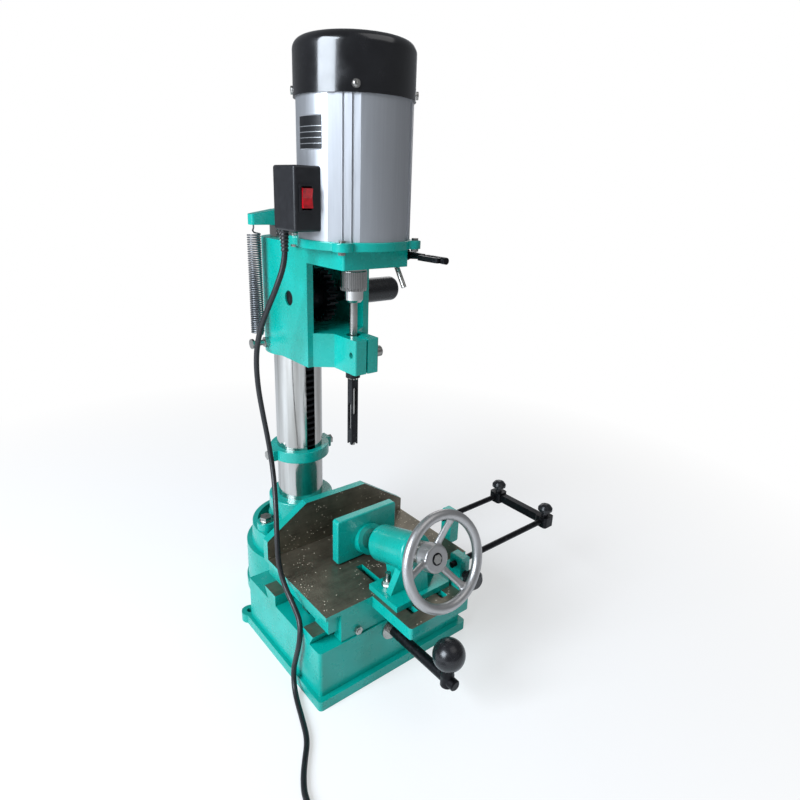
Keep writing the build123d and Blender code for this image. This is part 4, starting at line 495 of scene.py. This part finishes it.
CAD_FINISHES = {
    GREEN_ENAMEL: (
        "column_socket spring_arm stop_collar clamp_body rod_brackets jaw_plate head_casting"
        " motor_flange"
    ),
    TABLE_ENAMEL: "table_casting",
    BASE_ENAMEL: "base_casting",
    COLUMN_STEEL: "column clamp_quill",
    BOLT_STEEL: (
        "feed_bush column_bolts collar_screws gib_strip gib_screws clamp_bolts clamp_screw"
        " wheel_nut head_screws guide_pin stator motor_bearings motor_screws rotor auger_bit"
        " feed_pinion table_rack feed_lever"
    ),
    BLACK_STEEL: "column_rack lift_pinion stop_rods stop_bar feed_crank lock_lever",
    CHISEL_STEEL: "chisel",
    CHROME: "chuck_body",
    KNURL: "chuck_sleeve",
    EXTRUSION: "motor_shell",
    CAST_ALUMINIUM: "rear_bell",
    BLACK_ENAMEL: "fan_cover",
    BOX_ABS: "switch_box lever_grip cooling_fan",
    KNOB_PLASTIC: "ball_knob stop_knob_back stop_knob_front rod_knob lever_hub",
    VINYL: "plug",
    RED: "rocker",
    BRASS: "plug_pins",
}
for material, names in CAD_FINISHES.items():
    for name in names.split():
        nodes[name].data.materials.clear()
        nodes[name].data.materials.append(material)


def break_edges(names, width, segments=3, angle=32):
    """Rounds the edges of cast or moulded parts, which are never sharp."""
    for name in names.split():
        bevel = nodes[name].modifiers.new("broken_edges", "BEVEL")
        bevel.width = width
        bevel.segments = segments
        bevel.limit_method = "ANGLE"
        bevel.angle_limit = radians(angle)
        bevel.harden_normals = True


break_edges("head_casting table_casting clamp_body", 1.6 * MM)
break_edges("base_casting column_socket spring_arm motor_flange", 1.4 * MM)
break_edges("rod_brackets stop_bar jaw_plate switch_box", 1.0 * MM)
break_edges("motor_shell column_bolts clamp_bolts gib_screws collar_screws head_screws", 0.4 * MM, 2)


# ------------------------------------------------------------ mesh tools
def new_piece(name, mesh, material, body):
    """A named piece with its finish, riding on a body, or on none if it bends between two."""
    piece = bpy.data.objects.new(name, mesh)
    bpy.context.scene.collection.objects.link(piece)
    mesh.materials.clear()
    mesh.materials.append(material)
    for face in mesh.polygons:
        face.use_smooth = True
    if body:
        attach(piece, body)
    return piece


def frame_at(origin, out, across=(1, 0, 0)):
    """A matrix with Z along a direction and X as near as can be to another."""
    z = Vector(out).normalized()
    y = z.cross(Vector(across)).normalized()
    x = y.cross(z)
    return Matrix.Translation(Vector(origin)) @ Matrix((x, y, z)).transposed().to_4x4()


def add_turned(shape, profile, at, steps=64):
    """Turns a profile of (radius, height) points about Z, and adds it to a mesh."""
    rings = []
    for radius, height in profile:
        if radius < 1e-6:
            rings.append([shape.verts.new(at @ Vector((0, 0, height)))])
        else:
            rings.append(
                [
                    shape.verts.new(
                        at
                        @ Vector(
                            (
                                radius * cos(2 * pi * i / steps),
                                radius * sin(2 * pi * i / steps),
                                height,
                            )
                        )
                    )
                    for i in range(steps)
                ]
            )
    for low, high in zip(rings, rings[1:]):
        for i in range(steps):
            j = (i + 1) % steps
            below = [low[i % len(low)], low[j % len(low)]]
            above = [high[j % len(high)], high[i % len(high)]]
            corners = list(dict.fromkeys(below + above))
            if len(corners) > 2:
                shape.faces.new(corners)


def done(shape, name):
    """Turns a bmesh into a mesh with its faces outward."""
    bmesh.ops.recalc_face_normals(shape, faces=shape.faces)
    mesh = bpy.data.meshes.new(name)
    shape.to_mesh(mesh)
    shape.free()
    return mesh


def curve_of(name, points, order, cyclic=False, bevel=0.0, sides=6):
    """A curve object through or under these points; order 0 is straight runs."""
    data = bpy.data.curves.new(name, "CURVE")
    data.dimensions = "3D"
    data.bevel_depth = bevel
    data.bevel_resolution = sides
    data.use_fill_caps = bevel > 0
    spline = data.splines.new("NURBS" if order else "POLY")
    spline.points.add(len(points) - 1)
    for spot, point in zip(spline.points, points):
        spot.co = (*point, 1)
    if order:
        spline.order_u = order
        spline.use_endpoint_u = True
        spline.resolution_u = 8
    return bpy.data.objects.new(name, data)


def tube_and_path(name, points, order, radius, sides=6):
    """A tube along a route as a mesh, and the points that its middle follows."""
    bare = curve_of(name + "_line", points, order)
    line = bpy.data.meshes.new_from_object(bare)
    path = [tuple(v.co) for v in line.vertices]
    tube = curve_of(name, points, order, bevel=radius, sides=sides)
    mesh = bpy.data.meshes.new_from_object(tube)
    mesh.name = name
    bpy.data.objects.remove(bare)
    bpy.data.objects.remove(tube)
    return mesh, path


# ------------------------------------------------------------ power cord
CORD_R = 3.5 * MM
CORD_DROP = [
    (-87.5, -129.5, 551.7),
    (-88.5, -129, 537),
    (-97, -124, 510),
    (-104, -112, 482),
    (-107, -95, 452),
    (-107, -82, 418),
    (-103, -75, 376),
    (-96, -72, 334),
    (-91, -76, 292),
    (-94, -93, 252),
    (-105, -118, 216),
    (-115, -137, 182),
    (-119, -147, 148),
    (-119, -163, 124),
    (-119, -187, 108),
    (-122, -207, 98),
    (-129, -216, 78),
    (-130.25, -209, 52),
]
CORD_LAY = [
    (-131.5, -202, 26),
    (-138, -216, 3.7),
    (-152, -261, 3.6),
    (-161, -287, 3.6),
    (-177, -308, 3.6),
    (-189, -325, 3.6),
    (-200, -347, 3.6),
    (-202, -378, 3.7),
]
COIL_X, COIL_Y, COIL_R = -242, -424, 38.5
COIL_PITCH, COIL_TURNS, COIL_START = 7.8, 3.24, -3.0
COIL_BOTTOM = 4.4
TURN_POINTS = 16
PLUG_X, PLUG_Y, PLUG_T = -340, -461, 22
LEAD = 7


def on_coil(turns, radius=COIL_R):
    angle = radians(COIL_START) - 2 * pi * turns
    return Vector(
        (
            COIL_X + radius * cos(angle),
            COIL_Y + radius * sin(angle),
            COIL_BOTTOM + COIL_PITCH * turns,
        )
    )


# control points stand a little outside the turns, so that the line lies on them
outer = COIL_R / cos(pi / TURN_POINTS) ** 0.5
coil_points = int(COIL_TURNS * TURN_POINTS)
coil = [on_coil((i + 0.5) / TURN_POINTS, outer) for i in range(coil_points)]
coil_out = on_coil(COIL_TURNS)
ahead = (on_coil(COIL_TURNS + 0.001) - coil_out).normalized()
tail_start = coil_out + ahead * LEAD
tail = [
    tail_start,
    tail_start + Vector((-20, 0, 0)),
    Vector((PLUG_X + 20, PLUG_Y, PLUG_T / 2)),
    Vector((PLUG_X + 0.3, PLUG_Y, PLUG_T / 2)),
]
route = [Vector(p) * MM for p in CORD_DROP + CORD_LAY] + [p * MM for p in coil + tail]
cord_mesh, cord_path = tube_and_path("power_cord", route, 3, CORD_R)
cord = new_piece("power_cord", cord_mesh, VINYL, None)
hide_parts("cord_drop", "cord_lay", "cord_coil", "cord_tail")
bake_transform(cord)

# strain relief: a ribbed taper under the switch box, as (radius, height) in mm
RELIEF_TOP = Vector((-87.5, -129.5, 577)) * MM
RIBS = 5
RIB_PITCH = 4.2
RIB_R = 5.4
RIB_TAPER = 0.24

taper = [(3.6, 0), (5.5, 0), (5.5, -2)]
for rib in range(RIBS):
    z = -3 - rib * RIB_PITCH
    r = RIB_R - RIB_TAPER * rib
    taper += [(r - 0.7, z), (r - 0.7, z - 1.4), (r, z - 2.0), (r - 0.1, z - 3.6)]
taper += [(4.1, -24.6), (3.55, -25)]
ribbed = bmesh.new()
add_turned(
    ribbed,
    [(r * MM, z * MM) for r, z in taper],
    Matrix.Translation(RELIEF_TOP),
    40,
)
strain_relief = new_piece(
    "strain_relief", done(ribbed, "strain_relief"), VINYL, "head"
)
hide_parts("cord_gland")

# ------------------------------------------------------------ counterbalance spring
SPRING_X = -63
WIRE_R = 1.1
SPRING_R = 8.3
CURLS = 44
SPRING_LOW, SPRING_HIGH = 426, 562
LOW_END_Z, HIGH_END_Z = 415.5, 588
CURL_POINTS = 18


def on_spring(turns):
    return Vector(
        (
            SPRING_X + SPRING_R * cos(2 * pi * turns),
            SPRING_R * sin(2 * pi * turns),
            SPRING_LOW + (SPRING_HIGH - SPRING_LOW) * turns / CURLS,
        )
    )


wire = [Vector((SPRING_X, 0, z)) for z in (LOW_END_Z, 418)]
wire += [Vector((SPRING_X, -3, 422)), Vector((SPRING_X + 4, -7, 425))]
wire += [on_spring(i / CURL_POINTS) for i in range(CURLS * CURL_POINTS + 1)]
wire += [Vector((SPRING_X + 4, 7, 563)), Vector((SPRING_X, 3, 566))]
wire += [Vector((SPRING_X, 0, z)) for z in (570, 574, HIGH_END_Z)]
spring_mesh, _ = tube_and_path("spring_wire", [p * MM for p in wire], 0, WIRE_R * MM, 3)
spring = new_piece("head_spring", spring_mesh, SPRING_STEEL, None)
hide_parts("counter_spring")
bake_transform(spring)

# ------------------------------------------------------------ handwheel
RIM_AT = 162 * MM
HUB_AT = 130 * MM
HUB_TOP = 150 * MM
WHEEL_R = 56 * MM
RIM_R = 6.5 * MM
HUB_R = 18 * MM
SPOKES = 3
SPOKE_START = 62  # degrees round from the wheel's right, so that one points to 1 o'clock
SPOKE_STEPS = 12
SPOKE_SIDES = 20
SPOKE_ROOT = 9 * MM


def clamp_frame(distance):
    return frame_at(CLAMP_START + CLAMP_OUT * distance, CLAMP_OUT)


def handwheel():
    """Cast wheel: round rim, three spokes that widen into the hub, faced hub."""
    shape = bmesh.new()
    at = clamp_frame(0)
    rim = [
        (WHEEL_R + RIM_R * cos(a), RIM_AT + RIM_R * 0.96 * sin(a))
        for a in (2 * pi * i / 24 for i in range(25))
    ]
    add_turned(shape, rim, at, 128)
    add_turned(
        shape,
        [
            (0.0, HUB_AT),
            (HUB_R - 1 * MM, HUB_AT),
            (HUB_R, HUB_AT + 1.5 * MM),
            (HUB_R, HUB_TOP - 1.5 * MM),
            (HUB_R - 1 * MM, HUB_TOP),
            (0.0, HUB_TOP),
        ],
        at,
    )
    bmesh.ops.remove_doubles(shape, verts=shape.verts, dist=1e-6)
    # spokes: flattened ovals from the hub out to the rim, wider at both ends
    for spoke in range(SPOKES):
        turn = radians(SPOKE_START + 360 / SPOKES * spoke)
        out = Vector((cos(turn), sin(turn), 0))
        side = Vector((-sin(turn), cos(turn), 0))
        rings = []
        for step in range(SPOKE_STEPS + 1):
            t = step / SPOKE_STEPS
            r = SPOKE_ROOT + t * (WHEEL_R - SPOKE_ROOT)
            rise = HUB_TOP - 9 * MM + (RIM_AT - HUB_TOP + 9 * MM) * t**1.15
            flare = 1 + 0.9 * (2 * t - 1) ** 4
            width, thick = 4.6 * MM * flare, 3.4 * MM * (1 + 0.35 * (1 - t))
            rings.append(
                [
                    shape.verts.new(
                        at
                        @ (
                            out * r
                            + side * width * cos(2 * pi * i / SPOKE_SIDES)
                            + Vector((0, 0, rise + thick * sin(2 * pi * i / SPOKE_SIDES)))
                        )
                    )
                    for i in range(SPOKE_SIDES)
                ]
            )
        for low, high in zip(rings, rings[1:]):
            for i in range(SPOKE_SIDES):
                j = (i + 1) % SPOKE_SIDES
                shape.faces.new([low[i], low[j], high[j], high[i]])
        shape.faces.new(rings[0])
        shape.faces.new(rings[-1][::-1])
    return done(shape, "handwheel_casting")


wheel = new_piece("wheel_casting", handwheel(), CAST_ALUMINIUM, "clamp_wheel")
fused = wheel.modifiers.new("cast_in_one", "REMESH")
fused.mode = "VOXEL"
fused.voxel_size = 0.9 * MM
fused.use_smooth_shade = True
soft = wheel.modifiers.new("cast_fillets", "SMOOTH")
soft.factor = 0.5
soft.iterations = 6
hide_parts("handwheel")

# a thin black disc on the hub's face: painted shade standing in for the dark socket with the nut
# down in it
hub_shade_disc = bmesh.new()
add_turned(
    hub_shade_disc,
    [(0.0, 0.6 * MM), (6.4 * MM, 0.6 * MM), (7.6 * MM, 0.6 * MM), (7.9 * MM, 0.1 * MM)],
    clamp_frame(HUB_TOP),
    40,
)
new_piece("painted_hub_shade", done(hub_shade_disc, "painted_hub_shade"), BLACK_STEEL, "clamp_wheel")

# ------------------------------------------------------------ screws and plates
COVER_SCREW_Z = 728 * MM
COVER_SCREW_R = 4.6 * MM
COVER_SCREW_TURNS = (-124, -34, 56, 146)


def domed_screw(name, at, radius, body):
    """A pan-head screw with a recess in its middle."""
    shape = bmesh.new()
    profile = [(radius, 0), (radius, 0.25 * radius)]
    profile += [
        (radius * cos(a), 0.25 * radius + 0.35 * radius * sin(a))
        for a in (pi / 2 * i / 6 for i in range(1, 6))
    ]
    profile += [(0.34 * radius, 0.6 * radius), (0.26 * radius, 0.3 * radius), (0, 0.26 * radius)]
    add_turned(shape, profile, at, 32)
    new_piece(name, done(shape, name), BOLT_STEEL, body)


for index, turn in enumerate(COVER_SCREW_TURNS):
    way = Vector((cos(radians(turn)), sin(radians(turn)), 0))
    middle = Vector((0, SPINDLE_Y, COVER_SCREW_Z)) + way * (COVER_R + 0.1 * MM)
    seat = frame_at(middle, way, (0, 0, 1))
    domed_screw(f"cover_screw_{index}", seat, COVER_SCREW_R, "head")

PLATE_FROM, PLATE_TO = radians(171.5), radians(203.5)
PLATE_LOW, PLATE_HIGH = 664 * MM, 699 * MM
PLATE_R = SHELL_R + 0.35 * MM
PLATE_ACROSS, PLATE_UP = 40, 24


def spec_plate():
    """A blank rating plate, bent to the motor."""
    shape = bmesh.new()
    grid = []
    for j in range(PLATE_UP + 1):
        z = PLATE_LOW + (PLATE_HIGH - PLATE_LOW) * j / PLATE_UP
        row = []
        for i in range(PLATE_ACROSS + 1):
            a = PLATE_FROM + (PLATE_TO - PLATE_FROM) * i / PLATE_ACROSS
            row.append(shape.verts.new((PLATE_R * cos(a), SPINDLE_Y + PLATE_R * sin(a), z)))
        grid.append(row)
    for low, high in zip(grid, grid[1:]):
        for i in range(PLATE_ACROSS):
            shape.faces.new([low[i], low[i + 1], high[i + 1], high[i]])
    return done(shape, "rating_plate")


def plate_print():
    """Screen-printed aluminium: black ground, pale rules, no words."""

    def surface(tree):
        spot = add(tree, "TexCoord")
        axes = add(tree, "SeparateXYZ", {0: spot.outputs["Object"]})
        height = ramp(tree, axes.outputs[2], PLATE_LOW, PLATE_HIGH)
        rows = add(tree, "Math", {0: times(tree, height, 6.0)}, operation="FRACT").outputs[0]
        rule = add(tree, "Math", {0: rows, 1: 0.1}, operation="LESS_THAN").outputs[0]
        below = add(tree, "Math", {0: height, 1: 0.78}, operation="LESS_THAN").outputs[0]
        rule = times(tree, rule, below)
        edge = add(tree, "Math", {0: height, 1: 0.5}, operation="SUBTRACT").outputs[0]
        edge = add(tree, "Math", {0: edge}, operation="ABSOLUTE").outputs[0]
        edge = add(tree, "Math", {0: edge, 1: 0.475}, operation="GREATER_THAN").outputs[0]
        pale = add(tree, "Math", {0: rule, 1: edge}, operation="MAXIMUM").outputs[0]
        return {
            "Base Color": blend_colours(tree, pale, linear("#101114"), linear("#C9CBCE")),
            "Metallic": times(tree, pale, 0.8),
            "Roughness": 0.35,
        }

    return finish_of("printed_aluminium_plate", surface, lambda tree: grain(tree, 2 * MM), 0.03)


plate = new_piece("rating_plate", spec_plate(), plate_print(), "head")
thick = plate.modifiers.new("plate_thickness", "SOLIDIFY")
thick.thickness = 0.5 * MM
thick.offset = -1

# ------------------------------------------------------------ studio
SHEET_WHITE = linear("#FFFFFF")


def backdrop():
    """White paper that keeps the shadow near the machine and glows white further off."""
    material = bpy.data.materials.new("white_paper")
    material.use_nodes = True
    tree = material.node_tree
    tree.nodes.clear()
    away = add(tree, "VectorMath", {0: place(tree)}, operation="LENGTH").outputs["Value"]
    paper = add(tree, "BsdfDiffuse", {"Color": linear("#FBFBFB")})
    white = add(tree, "Emission", {"Color": SHEET_WHITE, "Strength": 1.0})
    ray = add(tree, "LightPath").outputs["Is Camera Ray"]
    glow = times(tree, ramp(tree, away, 0.35, 1.1, 0.5, 1.0), ray)
    mix = add(tree, "MixShader", {0: glow, 1: paper.outputs[0], 2: white.outputs[0]})
    output = add(tree, "OutputMaterial")
    tree.links.new(mix.outputs[0], output.inputs["Surface"])
    return material


floor_shape = bmesh.new()
bmesh.ops.create_grid(floor_shape, x_segments=1, y_segments=1, size=8)
floor_mesh = done(floor_shape, "floor")
floor = bpy.data.objects.new("floor", floor_mesh)
bpy.context.scene.collection.objects.link(floor)
floor_mesh.materials.append(backdrop())

scene = bpy.context.scene
world = bpy.data.worlds.new("studio")
scene.world = world
world.use_nodes = True
tree = world.node_tree
tree.nodes.clear()
ray = add(tree, "LightPath")
dim = add(tree, "Background", {"Color": linear("#EEF3FA"), "Strength": 0.24})
white = add(tree, "Background", {"Color": SHEET_WHITE, "Strength": 1.0})
mix = add(
    tree,
    "MixShader",
    {0: ray.outputs["Is Camera Ray"], 1: dim.outputs[0], 2: white.outputs[0]},
)
output = add(tree, "OutputWorld")
tree.links.new(mix.outputs[0], output.inputs["Surface"])


def softbox(name, at, target, size, power, colour="#FFFFFF"):
    light = bpy.data.lights.new(name, "AREA")
    light.size = size
    light.energy = power
    light.color = linear(colour)[:3]
    lamp = bpy.data.objects.new(name, light)
    lamp.matrix_world = frame_at(at, Vector(at) - Vector(target))
    scene.collection.objects.link(lamp)


softbox("window_left", (-1.9, -0.3, 1.3), (0, -0.1, 0.4), 1.2, 76, "#EAF4FF")
softbox("top_fill", (0.4, -1.2, 2.0), (0, -0.1, 0.3), 1.4, 6)
softbox("back_right", (1.4, 1.2, 1.2), (0, 0, 0.4), 1.0, 5)

# ------------------------------------------------------------ camera
EYE = Vector((-0.4329, -0.7650, 0.6287))
YAW, PITCH, ROLL = radians(39.49), radians(18.16), radians(1.86)
FOCUS_PX, CENTRE_X_PX, CENTRE_Y_PX, FRAME_PX = 600.6, 398.9, 383.2, 800
SENSOR = 36.0

ahead = Vector((sin(YAW) * cos(PITCH), cos(YAW) * cos(PITCH), -sin(PITCH)))
level = Vector((cos(YAW), -sin(YAW), 0))
upright = level.cross(ahead)
right = level * cos(ROLL) + upright * sin(ROLL)
up = upright * cos(ROLL) - level * sin(ROLL)
camera_data = bpy.data.cameras.new("camera")
camera_data.sensor_width = SENSOR
camera_data.lens = FOCUS_PX / FRAME_PX * SENSOR
camera_data.shift_x = (FRAME_PX / 2 - CENTRE_X_PX) / FRAME_PX
camera_data.shift_y = (CENTRE_Y_PX - FRAME_PX / 2) / FRAME_PX
camera_data.clip_start = 0.01
camera = bpy.data.objects.new("camera", camera_data)
camera.matrix_world = Matrix.Translation(EYE) @ Matrix((right, up, -ahead)).transposed().to_4x4()
scene.collection.objects.link(camera)
scene.camera = camera
scene.view_settings.view_transform = "Standard"
